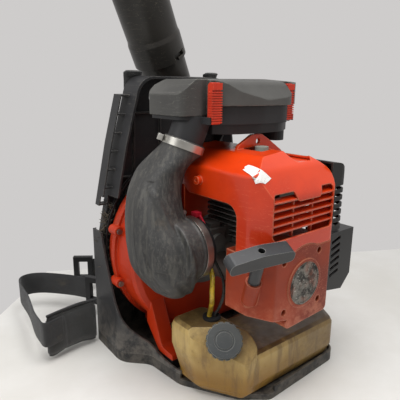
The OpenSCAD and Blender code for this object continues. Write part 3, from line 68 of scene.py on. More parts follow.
PICTURE = 400  # side of the picture in pixels
FOCAL = 446  # focal length in pixels
SENSOR = 36
EYE = Vector((-0.533, -0.595, 0.500))
TURN, TILT, ROLL = radians(-39.7), radians(14.3), radians(0.5)
ahead = Vector((-sin(TURN) * cos(TILT), cos(TURN) * cos(TILT), -sin(TILT)))
level = Vector((cos(TURN), sin(TURN), 0))
above = level.cross(ahead)
right = cos(ROLL) * level + sin(ROLL) * above
up = -sin(ROLL) * level + cos(ROLL) * above
camera = bpy.data.objects.new("camera", bpy.data.cameras.new("camera"))
camera.data.lens = FOCAL * SENSOR / PICTURE
camera.data.sensor_width = SENSOR
camera.data.clip_start = 0.01
camera.matrix_world = Matrix((
    (right.x, up.x, -ahead.x, EYE.x),
    (right.y, up.y, -ahead.y, EYE.y),
    (right.z, up.z, -ahead.z, EYE.z),
    (0, 0, 0, 1)))
scene.collection.objects.link(camera)
scene.camera = camera


# ---------------------------------------------------------------- materials

def rgb(r, g, b):
    """An 8-bit display colour as a linear one."""
    return tuple(
        c / 12.92 if c <= 0.04045 else ((c + 0.055) / 1.055) ** 2.4
        for c in (r / 255, g / 255, b / 255)) + (1.0,)


class Shader:
    """A material whose nodes are added one call at a time."""

    def __init__(self, name):
        self.material = bpy.data.materials.new(name)
        self.material.use_nodes = True
        self.tree = self.material.node_tree
        self.surface = self.tree.nodes["Principled BSDF"]
        place = self.add("ShaderNodeTexCoord")
        self.place = place.outputs["Object"]
        self.facing = place.outputs["Normal"]
        self.uv = place.outputs["UV"]

    def add(self, kind, inputs=None, **settings):
        node = self.tree.nodes.new(kind)
        for key, value in settings.items():
            setattr(node, key, value)
        for key, value in (inputs or {}).items():
            self.put(node.inputs[key], value)
        return node

    def put(self, socket, value):
        if isinstance(value, bpy.types.NodeSocket):
            self.tree.links.new(value, socket)
        else:
            socket.default_value = value

    def set(self, name, value):
        self.put(self.surface.inputs[name], value)

    def noise(self, scale, detail=4.0, roughness=0.55, stretch=None, distortion=0.0):
        place = self.place
        if stretch:
            place = self.add("ShaderNodeMapping", {"Vector": place, "Scale": stretch}).outputs[0]
        return self.add("ShaderNodeTexNoise", {
            "Vector": place, "Scale": scale, "Detail": detail,
            "Roughness": roughness, "Distortion": distortion}).outputs["Fac"]

    def span(self, value, low, high, start=0.0, end=1.0):
        """value mapped smoothly from low..high to start..end."""
        return self.add("ShaderNodeMapRange", {
            "Value": value, "From Min": low, "From Max": high,
            "To Min": start, "To Max": end}, interpolation_type="SMOOTHSTEP").outputs[0]

    def math(self, kind, a, b=0.0):
        node = self.add("ShaderNodeMath", operation=kind)
        self.put(node.inputs[0], a)
        self.put(node.inputs[1], b)
        return node.outputs[0]

    def mix(self, factor, a, b):
        node = self.add("ShaderNodeMix", data_type="RGBA")
        self.put(node.inputs[0], factor)
        self.put(node.inputs[6], a)
        self.put(node.inputs[7], b)
        return node.outputs[2]

    def axis(self, vector, name):
        return self.add("ShaderNodeSeparateXYZ", {"Vector": vector}).outputs[name]

    def edges(self, radius):
        """Normals rounded over edges, and how much an edge or corner is near."""
        soft = self.add("ShaderNodeBevel", {"Radius": radius}, samples=6).outputs[0]
        true = self.add("ShaderNodeNewGeometry").outputs["Normal"]
        dot = self.add("ShaderNodeVectorMath", {0: soft, 1: true}, operation="DOT_PRODUCT")
        return soft, self.span(dot.outputs["Value"], 0.985, 0.86)

    def bump(self, height, strength, distance, normal=None):
        inputs = {"Height": height, "Strength": strength, "Distance": distance}
        if normal:
            inputs["Normal"] = normal
        self.set("Normal", self.add("ShaderNodeBump", inputs).outputs[0])


MUD = rgb(92, 74, 56)


def plastic(name, base, shade, grime=MUD, dirty=0.3, worn=None, wear=0.5, rough=0.45,
            grain=700.0, relief=0.12, edge=0.0014, metal=0.0, scratch=0.25, upward=0.14,
            coat=0.0, low_dust=None):
    """A moulded or cast surface: mottled colour, settled dirt, rubbed edges and fine scratches."""
    s = Shader(name)
    broad = s.noise(6.5, 5.0)
    fine = s.noise(55.0, 7.0, 0.65)
    colour = s.mix(s.span(broad, 0.38, 0.66), base, shade)
    soft, near_edge = s.edges(edge)
    settled = s.math("ADD", s.math("MULTIPLY", s.noise(15.0, 6.0, 0.7), 0.7), s.math("MULTIPLY", fine, 0.4))
    settled = s.math("ADD", settled, s.math("MULTIPLY", s.axis(s.facing, "Z"), upward))
    dirt = s.span(settled, 0.86 - 0.5 * dirty, 1.12 - 0.42 * dirty)
    dirt = s.math("MULTIPLY", dirt, min(0.85, 0.35 + dirty))
    colour = s.mix(dirt, colour, grime)
    if worn:
        rub = s.math("MULTIPLY", near_edge, s.span(fine, 0.52 - 0.25 * wear, 0.66 - 0.2 * wear))
        colour = s.mix(s.math("MULTIPLY", rub, 0.75), colour, worn)
        line = s.noise(7.0, 3.0, 0.5, stretch=(6.0, 1.2, 26.0), distortion=0.6)
        line = s.math("MULTIPLY", s.span(s.math("ABSOLUTE", s.math("SUBTRACT", line, 0.5)), 0.006, 0.0),
                      s.math("MULTIPLY", s.span(broad, 0.48, 0.62), scratch))
        colour = s.mix(line, colour, worn)
    if low_dust:
        height = s.math("ADD", s.axis(s.place, "Z"), s.math("MULTIPLY", s.noise(30.0, 7.0, 0.75), 0.16))
        dusty = s.math("MULTIPLY", s.span(height, low_dust + 0.05, low_dust - 0.03), s.span(fine, 0.36, 0.6))
        colour = s.mix(s.math("MULTIPLY", dusty, 0.6), colour, worn or grime)
    s.set("Base Color", colour)
    s.set("Coat Weight", coat)
    s.set("Coat Roughness", 0.12)
    s.set("Roughness", s.span(s.math("ADD", dirt, s.math("MULTIPLY", fine, 0.35)), 0.1, 0.9,
                              rough, min(0.95, rough + 0.35)))
    s.set("Metallic", metal)
    s.set("Specular IOR Level", 0.5 if metal else 0.34)
    s.bump(s.noise(grain, 3.0), relief, 0.0004, soft)
    return s.material


def assign(material, *names):
    for name in names:
        mesh = NODE[name].data
        if not mesh.materials:
            mesh.materials.append(material)
        for i in range(len(mesh.materials)):
            mesh.materials[i] = material


orange = plastic("orange_shell", rgb(222, 62, 8), rgb(196, 48, 6), dirty=0.26, worn=rgb(238, 132, 92),
                 wear=0.8, rough=0.34, relief=0.05, edge=0.0032, scratch=0.5, grime=rgb(112, 44, 22),
                 coat=0.5)
housing_orange = plastic("orange_housing", rgb(190, 50, 12), rgb(158, 40, 12), dirty=0.46,
                         worn=rgb(216, 104, 66), rough=0.42, edge=0.0018, grime=rgb(70, 38, 26))
worn_orange = plastic("faded_orange_cover", rgb(158, 54, 16), rgb(122, 38, 12), dirty=0.42,
                      worn=rgb(206, 128, 98), wear=1.0, rough=0.46, edge=0.0042,
                      grime=rgb(84, 44, 30), scratch=0.8, low_dust=0.23)
latch_orange = plastic("latch_orange", rgb(214, 62, 34), rgb(192, 48, 26), dirty=0.26,
                       worn=rgb(236, 124, 92), rough=0.4, edge=0.0006)
frame_grey = plastic("frame_plastic", rgb(50, 50, 51), rgb(36, 36, 38), dirty=0.40, worn=rgb(118, 112, 104),
                     rough=0.46, edge=0.0016, scratch=0.5, grime=rgb(66, 56, 44), low_dust=0.13)
tray_grey = plastic("tray_plastic", rgb(46, 45, 44), rgb(36, 36, 37), dirty=0.55, worn=rgb(112, 106, 98),
                    rough=0.55, edge=0.0016, grime=rgb(104, 94, 78), low_dust=0.10)
filter_grey = plastic("filter_plastic", rgb(84, 83, 80), rgb(67, 66, 64), dirty=0.28, worn=rgb(132, 130, 122),
                      rough=0.48, edge=0.0024, grime=rgb(104, 98, 84), scratch=0.5)
tube_grey = plastic("tube_plastic", rgb(50, 47, 43), rgb(38, 36, 33), dirty=0.30, worn=rgb(112, 104, 90),
                    rough=0.34, edge=0.0010, grime=rgb(84, 72, 56), scratch=0.6, relief=0.05)
dark_parts = plastic("dark_parts", rgb(44, 44, 45), rgb(32, 32, 34), dirty=0.34, rough=0.5, edge=0.0010)
black_parts = plastic("black_parts", rgb(28, 28, 29), rgb(20, 20, 21), dirty=0.22, worn=rgb(84, 82, 78),
                      rough=0.45, edge=0.0010)
guard_black = plastic("muffler_guard_plastic", rgb(30, 29, 29), rgb(22, 22, 22), dirty=0.26,
                      worn=rgb(112, 104, 94), rough=0.5, grime=rgb(86, 76, 64), edge=0.0012)
shield_black = plastic("shield_plastic", rgb(28, 28, 30), rgb(20, 20, 22), dirty=0.16,
                       worn=rgb(90, 88, 84), rough=0.32, edge=0.0014)
cap_grey = plastic("cap_plastic", rgb(84, 86, 84), rgb(62, 65, 66), dirty=0.30, worn=rgb(158, 158, 150),
                   wear=0.9, rough=0.5, edge=0.0010, grime=rgb(44, 40, 34))
grip_grey = plastic("grip_plastic", rgb(60, 61, 63), rgb(44, 45, 47), dirty=0.22, worn=rgb(164, 164, 160),
                    wear=0.9, rough=0.38, edge=0.0016)
red_plastic = plastic("choke_red", rgb(206, 34, 54), rgb(170, 26, 44), dirty=0.12, rough=0.35, edge=0.0006)
steel = plastic("bright_steel", rgb(206, 204, 198), rgb(150, 148, 142), dirty=0.24, rough=0.34, metal=1.0,
                grime=rgb(88, 74, 60), edge=0.0006, relief=0.03)
dull_steel = plastic("dull_steel", rgb(140, 137, 130), rgb(104, 98, 90), dirty=0.40, rough=0.4, metal=1.0,
                     grime=rgb(80, 62, 48), edge=0.0006)
cast_metal = plastic("cast_metal", rgb(118, 116, 112), rgb(88, 86, 82), dirty=0.50, rough=0.5, metal=0.7,
                     grime=rgb(52, 42, 34), edge=0.0012, relief=0.3)
rubber = plastic("black_rubber", rgb(32, 32, 33), rgb(24, 24, 25), dirty=0.3, rough=0.7, edge=0.0012)
boot_grey = plastic("boot_rubber", rgb(150, 154, 144), rgb(116, 120, 112), dirty=0.3, rough=0.6, edge=0.0012)
ceramic = plastic("plug_ceramic", rgb(226, 222, 212), rgb(206, 200, 190), dirty=0.2, rough=0.2, edge=0.0006)
felt = plastic("filter_felt", rgb(196, 190, 172), rgb(170, 160, 138), dirty=0.5, rough=0.9, relief=0.6)

assign(frame_grey, "back_frame")
assign(tray_grey, "base_tray")
assign(rubber, "isolators", "tank_grommet", "cap_seal")
assign(boot_grey, "plug_boot")
assign(housing_orange, "fan_housing_front", "fan_housing_rear")
assign(black_parts, "inlet_guard", "impeller", "ignition_coil", "air_horn", "rope_guide",
       "outlet_elbow", "control_handle", "throttle_trigger", "belt_buckle")
assign(dull_steel, "screws", "muffler", "throttle_lever")
assign(steel, "crankshaft", "elbow_clamps", "hose_clamp")
assign(cast_metal, "flywheel", "crankcase", "finned_cylinder", "carburetor")
assign(ceramic, "spark_plug")
assign(guard_black, "muffler_guard")
assign(shield_black, "muffler_shield")
assign(red_plastic, "choke_lever", "stop_switch")
assign(filter_grey, "filter_cover")
assign(dark_parts, "filter_base", "filter_bracket", "starter_reel", "cruise_lever")
assign(felt, "filter_element")
assign(latch_orange, "left_latch", "right_latch")
assign(orange, "engine_cover")
assign(worn_orange, "starter_cover")
assign(grip_grey, "starter_grip")
assign(cap_grey, "fuel_cap")
assign(tube_grey, "hose_collar", "lower_tube", "upper_tube")


def tank_material():
    """Milky polythene with fuel showing amber low down and oily dirt settled on top."""
    s = Shader("tank_polythene")
    z = s.axis(s.place, "Z")
    x = s.axis(s.place, "X")
    broad = s.noise(9.0, 5.0, 0.6)
    colour = s.mix(s.span(broad, 0.35, 0.68), rgb(196, 168, 104), rgb(150, 120, 62))
    level = s.math("ADD", z, s.math("MULTIPLY", broad, 0.03))
    fuel = s.math("MULTIPLY", s.span(level, 0.105, 0.045), s.span(x, 0.06, -0.06, 0.35, 0.9))
    colour = s.mix(fuel, colour, rgb(138, 98, 28))
    fine = s.noise(70.0, 7.0, 0.7)
    top = s.math("ADD", s.axis(s.facing, "Z"), s.math("MULTIPLY", s.noise(24.0, 6.0, 0.7), 1.3))
    stain = s.math("MULTIPLY", s.span(top, 1.05, 1.75), 0.85)
    colour = s.mix(stain, colour, rgb(66, 46, 28))
    run = s.noise(40.0, 6.0, 0.7, stretch=(1.0, 1.0, 0.12))
    colour = s.mix(s.math("MULTIPLY", s.span(run, 0.46, 0.62), 0.55), colour, rgb(104, 78, 44))
    side = s.math("ADD", s.math("MULTIPLY", x, 2.6), s.noise(11.0, 7.0, 0.75))
    colour = s.mix(s.math("MULTIPLY", s.span(side, 0.42, 0.9), 0.7), colour, rgb(92, 70, 44))
    colour = s.mix(s.math("MULTIPLY", s.span(fine, 0.62, 0.72), 0.45), colour, rgb(84, 62, 40))
    soft = s.edges(0.003)[0]
    s.set("Base Color", colour)
    s.set("Roughness", s.span(fine, 0.3, 0.8, 0.32, 0.6))
    s.set("Subsurface Weight", 0.12)
    s.set("Subsurface Radius", (0.9, 0.6, 0.25))
    s.set("Subsurface Scale", 0.008)
    s.bump(s.noise(400.0, 3.0), 0.08, 0.0004, soft)
    return s.material


def disc_material():
    """A bare foil disc, once bright, blotched and scraped."""
    s = Shader("worn_disc")
    patch = s.noise(60.0, 8.0, 0.75, distortion=0.6)
    colour = s.mix(s.span(patch, 0.42, 0.60), rgb(34, 31, 28), rgb(120, 116, 108))
    flake = s.noise(190.0, 5.0, 0.7)
    colour = s.mix(s.span(flake, 0.58, 0.66), colour, rgb(176, 172, 164))
    colour = s.mix(s.math("MULTIPLY", s.span(s.noise(26.0, 5.0), 0.5, 0.66), 0.5), colour, rgb(150, 84, 60))
    s.set("Base Color", colour)
    s.set("Roughness", s.span(patch, 0.3, 0.7, 0.62, 0.36))
    s.set("Metallic", 0.35)
    s.bump(patch, 0.25, 0.0006)
    return s.material


assign(tank_material(), "fuel_tank")
assign(disc_material(), "cover_disc")


# ---------------------------------------------------------------- mesh helpers

def unit(v):
    return Vector(v).normalized()


def new_piece(name, vertices, faces, material, body="machine"):
    """A smooth piece of the scene that rides on body; with no body, it is left unattached."""
    mesh = bpy.data.meshes.new(name)
    mesh.from_pydata([tuple(v) for v in vertices], [], faces)
    mesh.validate()
    mesh.update()
    piece = bpy.data.objects.new(name, mesh)
    scene.collection.objects.link(piece)
    mesh.materials.append(material)
    for polygon in mesh.polygons:
        polygon.use_smooth = True
    if body:
        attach(piece, body)
    return piece


def loft(rings, caps=True):
    """Vertices and faces through closed rings of equal length."""
    n = len(rings[0])
    vertices = [v for ring in rings for v in ring]
    faces = []
    for k in range(len(rings) - 1):
        for i in range(n):
            j = (i + 1) % n
            faces.append((n * k + i, n * k + j, n * (k + 1) + j, n * (k + 1) + i))
    if caps:
        faces.append(tuple(reversed(range(n))))
        faces.append(tuple(n * (len(rings) - 1) + i for i in range(n)))
    return vertices, faces


def catmull(points, steps):
    """A smooth route through points, with steps per span."""
    points = [Vector(p) for p in points]
    route = []
    last = len(points) - 1
    for i in range(last):
        a, b, c, d = (points[max(0, i - 1)], points[i], points[i + 1], points[min(last, i + 2)])
        for k in range(steps + (1 if i == last - 1 else 0)):
            t = k / steps
            route.append(0.5 * (2 * b + (c - a) * t + (2 * a - 5 * b + 4 * c - d) * t * t
                                + (3 * b - a - 3 * c + d) * t * t * t))
    return route


def travel_at(path, i):
    return (path[min(len(path) - 1, i + 1)] - path[max(0, i - 1)]).normalized()


def circle(centre, travel, r, sides, side=(0.6, -0.2, -0.5)):
    u = Vector(side).cross(Vector(travel)).normalized()
    v = Vector(travel).normalized().cross(u)
    return [centre + r * (cos(2 * pi * i / sides) * u + sin(2 * pi * i / sides) * v) for i in range(sides)]


def evaluated_copy(piece):
    """The piece's mesh with its modifiers applied."""
    graph = bpy.context.evaluated_depsgraph_get()
    mesh = bpy.data.meshes.new_from_object(piece.evaluated_get(graph))
    piece.modifiers.clear()
    piece.data = mesh


def shape(piece, change):
    """Moves each vertex by change(point, normal), a vector in metres."""
    mesh = piece.data
    normals = [v.normal.copy() for v in mesh.vertices]
    for vertex, normal in zip(mesh.vertices, normals):
        vertex.co += change(vertex.co, normal)
    mesh.update()


def groove(distance, width, depth):
    """How far a surface moves in a rounded groove, by its distance from the middle line."""
    return -depth * max(0.0, 1 - (distance / width) ** 2) ** 2 if abs(distance) < width else 0.0


def ridge(distance, width, height):
    return -groove(distance, width, height)


# ---------------------------------------------------------------- flexible hose and lines

TUBE_START = Vector((191, 260, 231)) * MM
TUBE_AXIS = Vector((-0.46875, -0.16508, 0.86777))
OUTLET_AXIS = Vector((0, 1, 0))
HOSE_FIRST = Vector((227, 175, 85)) * MM
HOSE_LAST = TUBE_START - 25 * MM * TUBE_AXIS
HOSE_RIBS = 14
HOSE_PULL = 67.5 * MM
HOSE_BORE_R = 50.2 * MM
HOSE_VALLEY_R = 51.6 * MM
HOSE_RIB_H = 5.8 * MM
CUFF_R = 52 * MM
CUFF_STEP = 4 * MM
CUFF_STEPS = 6


def hose_point(t):
    """A point on the curve from the fan's outlet (t = 0) to the tube's collar (t = 1)."""
    a, b = HOSE_FIRST, HOSE_FIRST + HOSE_PULL * OUTLET_AXIS
    c, d = HOSE_LAST - HOSE_PULL * TUBE_AXIS, HOSE_LAST
    return (1 - t) ** 3 * a + 3 * t * (1 - t) ** 2 * b + 3 * t * t * (1 - t) * c + t ** 3 * d


def hose_ring(t, r, sides):
    travel = (hose_point(min(1, t + 0.01)) - hose_point(max(0, t - 0.01))).normalized()
    return circle(hose_point(t), travel, r, sides)


def ribbed_hose():
    """Rubber bellows with rounded crests, narrow valleys and plain clamped cuffs."""
    sides, per_rib, inner_steps = 72, 10, 40
    cuff, lip = CUFF_STEPS * CUFF_STEP, 0.6 * MM
    rings = []
    for k in range(1, CUFF_STEPS + 1):
        centre = HOSE_FIRST + (k - CUFF_STEPS - 1) * CUFF_STEP * OUTLET_AXIS
        rings.append(circle(centre, OUTLET_AXIS, CUFF_R + (lip if k == 1 else 0), sides))
    for i in range(HOSE_RIBS * per_rib + 1):
        t = i / (HOSE_RIBS * per_rib)
        rib = abs(sin(pi * HOSE_RIBS * t)) ** 0.7
        rings.append(hose_ring(t, HOSE_VALLEY_R + HOSE_RIB_H * rib, sides))
    for k in range(1, CUFF_STEPS + 1):
        rings.append(circle(HOSE_LAST + k * CUFF_STEP * TUBE_AXIS, TUBE_AXIS, CUFF_R, sides))
    rings.append(circle(HOSE_LAST + cuff * TUBE_AXIS, TUBE_AXIS, HOSE_BORE_R, sides))
    for i in range(inner_steps + 1):
        rings.append(hose_ring(1 - i / inner_steps, HOSE_BORE_R, sides))
    rings.append(circle(HOSE_FIRST - cuff * OUTLET_AXIS, OUTLET_AXIS, HOSE_BORE_R, sides))
    vertices, faces = loft(rings, caps=False)
    n, last = sides, len(rings) - 1
    faces += [(n * last + i, n * last + (i + 1) % n, (i + 1) % n, i) for i in range(n)]
    piece = new_piece("ribbed_hose", vertices, faces, rubber, body=None)
    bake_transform(piece)
    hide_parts("bellows")


def line_material(name, colour, shade):
    s = Shader(name)
    s.set("Base Color", s.mix(s.span(s.noise(90.0, 5.0), 0.4, 0.62), colour, shade))
    s.set("Roughness", s.span(s.noise(300.0, 3.0), 0.3, 0.7, 0.22, 0.5))
    s.set("Subsurface Weight", 0.2)
    s.set("Subsurface Scale", 0.003)
    return s.material


def tube_line(name, node, route, r, material):
    path = catmull([Vector(p) * MM for p in route], 8)
    rings = [circle(p, travel_at(path, i), r * MM, 14, side=(1, 0.3, 0)) for i, p in enumerate(path)]
    vertices, faces = loft(rings)
    piece = new_piece(name, vertices, faces, material)
    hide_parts(node)


FUEL_ROUTE = [(-89.5, -88, 122), (-89.5, -88, 131), (-91, -93, 145), (-96, -101, 162), (-97, -102, 180),
              (-88, -92, 200), (-78, -72, 215), (-76, -66, 222), (-76, -66, 227.7)]
RETURN_ROUTE = [(-81, -93, 122), (-81, -93, 131), (-75, -97, 145), (-66, -96, 165), (-61, -88, 188),
                (-62, -74, 208), (-64, -66, 221), (-64, -66, 227.7)]
ribbed_hose()
tube_line("fuel_pipe", "fuel_line", FUEL_ROUTE, 4.0,
          line_material("fuel_pipe", rgb(206, 176, 52), rgb(160, 128, 40)))
tube_line("return_pipe", "return_line", RETURN_ROUTE, 2.6,
          line_material("return_pipe", rgb(58, 56, 50), rgb(40, 38, 36)))


# ---------------------------------------------------------------- rubber intake elbow

STUB_FOOT = Vector((-106, -34, 402)) * MM
STUB_AXIS = unit((-0.35, 0.1, -0.93))
ELBOW_RINGS = [
    # height, centre x, centre y, half width x, half width y
    (380, -128, -19, 31, 43), (362, -138, -15, 34, 43), (335, -148, -17, 38, 44), (300, -152, -23, 41, 50),
    (265, -151, -33, 44, 61), (238, -149, -38, 44, 66), (212, -146, -38, 41, 65), (190, -140, -38, 34, 53),
    (174, -135, -40, 25, 38), (165, -131, -41, 13, 20)]
MOUTH = Vector((-104, -64, 248)) * MM
MOUTH_R = 50 * MM
MOUTH_LENGTH = 46 * MM
SLEEVE_R = 33.6


def rubber_material():
    """Thick grey rubber, chalky where it has rubbed, with moulded flow lines."""
    s = Shader("scuffed_rubber")
    broad = s.noise(11.0, 5.0, 0.6)
    colour = s.mix(s.span(broad, 0.34, 0.68), rgb(58, 57, 55), rgb(38, 38, 38))
    lines = s.noise(20.0, 4.0, 0.55, stretch=(6.0, 6.0, 0.5))
    scuff = s.noise(170.0, 9.0, 0.8, stretch=(1.5, 1.5, 0.7))
    chalk = s.math("MULTIPLY", s.span(scuff, 0.47, 0.66), s.span(broad, 0.36, 0.62))
    colour = s.mix(s.math("MULTIPLY", chalk, 0.36), colour, rgb(116, 113, 106))
    colour = s.mix(s.math("MULTIPLY", s.span(lines, 0.5, 0.66), 0.22), colour, rgb(116, 113, 104))
    mud = s.math("MULTIPLY", s.span(s.noise(34.0, 6.0, 0.7), 0.58, 0.7), 0.3)
    colour = s.mix(mud, colour, rgb(84, 74, 60))
    s.set("Base Color", colour)
    s.set("Roughness", s.span(scuff, 0.3, 0.75, 0.44, 0.66))
    height = s.math("ADD", s.math("MULTIPLY", s.noise(620.0, 3.0), 0.4), s.math("MULTIPLY", scuff, 0.6))
    s.bump(height, 0.35, 0.0007)
    return s.material


def duct_relief(p, normal):
    """Moulding line down the outer edge, creases down the face, a ring round the mouth."""
    pouch_top, pouch_inside, mouth_back = 385 * MM, -108 * MM, -125 * MM
    crease_low, crease_high, fold_high, pinch_high = 185 * MM, 360 * MM, 370 * MM, 230 * MM
    rise = 0.0
    if p.z < pouch_top and p.x < pouch_inside:
        moulding = p.y + 0.030 - 0.10 * (p.z - 0.26)
        crease = p.y + 0.062 - 0.16 * (p.z - 0.22)
        fold = p.x + 0.142 + 0.30 * (p.z - 0.24)
        pinch = (p.x + 0.140) * 0.7 + (p.z - 0.188) * 0.7
        if normal.x < 0:
            rise += ridge(moulding, 2.2 * MM, 1.1 * MM)
        if normal.y < -0.1 and crease_low < p.z < crease_high:
            rise += groove(crease, 10 * MM, 2.2 * MM)
        if normal.y < -0.3 and p.z < fold_high:
            rise += ridge(fold, 7 * MM, 1.8 * MM)
        if normal.y < 0 and p.z < pinch_high:
            rise += groove(pinch, 8 * MM, 2.4 * MM)
    radial = Vector((0, p.y - MOUTH.y, p.z - MOUTH.z)).length
    if p.x > mouth_back and abs(radial - MOUTH_R) < 6 * MM:
        rise += ridge(p.x + 0.1205, 2.2 * MM, 1.4 * MM)
    return normal * rise


def intake_duct():
    """The flattened duct: a round sleeve at the top, a creased pouch and a ribbed mouth over the air horn."""
    sides = 96
    squareness = 2.6
    angles = [-2 * pi * i / sides for i in range(sides)]
    down = STUB_AXIS
    u = (Vector((1, 0, 0)) - down.x * down).normalized()
    v = down.cross(u)

    def sleeve(along, r):
        return [STUB_FOOT + along * MM * down + r * MM * (cos(a) * u - sin(a) * v) for a in angles]

    keys = [sleeve(-2, SLEEVE_R - 1)]
    for z, cx, cy, hx, hy in ELBOW_RINGS:
        ring = []
        for a in angles:
            c, s = cos(a), sin(a)
            swell = (abs(c) ** squareness + abs(s) ** squareness) ** (-1 / squareness)
            ring.append(Vector(((cx + hx * c * swell) * MM, (cy + hy * s * swell) * MM, z * MM)))
        keys.append(ring)
    columns = [catmull([ring[i] for ring in keys], 6) for i in range(sides)]
    rings = [[column[k] for column in columns] for k in range(len(columns[0]))]
    top = [sleeve(-16, SLEEVE_R - 0.6), sleeve(-15.5, SLEEVE_R), sleeve(-3, SLEEVE_R)]
    vertices, faces = loft(top + rings)
    mouth = [circle(MOUTH - Vector((back, 0, 0)), (1, 0, 0), MOUTH_R, sides, side=(0, 0, 1))
             for back in np.linspace(MOUTH_LENGTH, 0, 24)]
    more, others = loft(mouth)
    faces += [tuple(i + len(vertices) for i in face) for face in others]
    vertices += more
    piece = new_piece("intake_duct", vertices, faces, rubber_material(), body=None)
    merge = piece.modifiers.new("merge", "REMESH")
    merge.mode = "VOXEL"
    merge.voxel_size = 0.0017
    evaluated_copy(piece)
    blend = piece.modifiers.new("blend", "SMOOTH")
    blend.factor = 0.5
    blend.iterations = 12
    evaluated_copy(piece)

    shape(piece, duct_relief)
    for polygon in piece.data.polygons:
        polygon.use_smooth = True
    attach(piece, "machine")
    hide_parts("intake_elbow")


intake_duct()


# ---------------------------------------------------------------- soft goods

FRAME_Y, LEAN = 160 * MM, radians(3)
FRAME_TURN = Matrix.Translation((0, FRAME_Y, 0)) @ Matrix.Rotation(LEAN, 4, "X")
FRAME_BACK = FRAME_TURN.inverted()


def fabric(name, base, shade, cell, grime=rgb(120, 106, 84), dirty=0.3, sheen=0.35, depth=0.5):
    """Woven cloth: crossed threads of real size with painted shade in the hollows between them, a soft sheen
    and dust worked into it.
    """
    s = Shader(name)
    colour = s.mix(s.span(s.noise(12.0, 5.0, 0.65), 0.36, 0.66), base, shade)
    dust = s.math("ADD", s.noise(26.0, 7.0, 0.72), s.math("MULTIPLY", s.axis(s.facing, "Z"), 0.1))
    dusty = s.math("MULTIPLY", s.span(dust, 0.72 - 0.4 * dirty, 0.95 - 0.3 * dirty), 0.7)
    colour = s.mix(dusty, colour, grime)
    turns = [s.math("SINE", s.math("MULTIPLY", s.axis(s.place, axis), 2 * pi / cell)) for axis in "XYZ"]
    weave = s.math("ADD", s.math("MULTIPLY", turns[0], turns[2]), s.math("MULTIPLY", turns[1], turns[2]))
    # painted shade: the hollows between the threads are darkened towards black
    colour = s.mix(s.span(weave, 0.9, -0.9, 0.0, 0.3), colour, rgb(12, 12, 12))
    s.set("Base Color", colour)
    s.set("Roughness", s.span(dust, 0.3, 0.8, 0.72, 0.95))
    s.set("Sheen Weight", sheen)
    s.set("Sheen Roughness", 0.5)
    s.bump(weave, depth, cell * 0.35)
    return s.material


def webbing_material(name, base, shade):
    """Nylon webbing: ribs across it and threads along it, from its own width and length."""
    s = Shader(name)
    across, along = s.axis(s.uv, "X"), s.axis(s.uv, "Y")
    rib, warp = 0.0017, 0.0012
    ribs = s.math("SINE", s.math("MULTIPLY", along, 2 * pi / rib))
    threads = s.math("SINE", s.math("MULTIPLY", across, 2 * pi / warp))
    crossed = s.math("MULTIPLY", s.math("MULTIPLY", ribs, threads), 0.6)
    weave = s.math("ADD", s.math("MULTIPLY", ribs, 0.7), crossed)
    dust = s.noise(30.0, 7.0, 0.72)
    colour = s.mix(s.span(s.noise(10.0, 4.0), 0.4, 0.65), base, shade)
    # painted shade: the hollows between the ribs and threads are darkened towards black
    colour = s.mix(s.span(weave, 0.8, -0.9, 0.0, 0.35), colour, rgb(10, 10, 10))
    colour = s.mix(s.math("MULTIPLY", s.span(dust, 0.55, 0.75), 0.4), colour, rgb(110, 98, 80))
    s.set("Base Color", colour)
    s.set("Roughness", s.span(dust, 0.3, 0.7, 0.6, 0.85))
    s.set("Sheen Weight", 0.2)
    s.bump(weave, 0.5, 0.0005)
    return s.material


pad_mesh = fabric("spacer_mesh", rgb(52, 52, 54), rgb(42, 42, 44), 0.0042, depth=0.8)
pad_cloth = fabric("pad_cloth", rgb(42, 41, 39), rgb(31, 31, 30), 0.0016)
strap_cloth = fabric("strap_cloth", rgb(44, 44, 44), rgb(34, 34, 34), 0.0018, dirty=0.4)
black_web = webbing_material("black_webbing", rgb(36, 36, 37), rgb(26, 26, 27))
thread = plastic("thread", rgb(92, 90, 84), rgb(70, 68, 64), dirty=0.2, rough=0.8, edge=0.0003)


def coordinates(mesh):
    points = np.zeros(len(mesh.vertices) * 3)
    mesh.vertices.foreach_get("co", points)
    return points.reshape(-1, 3)


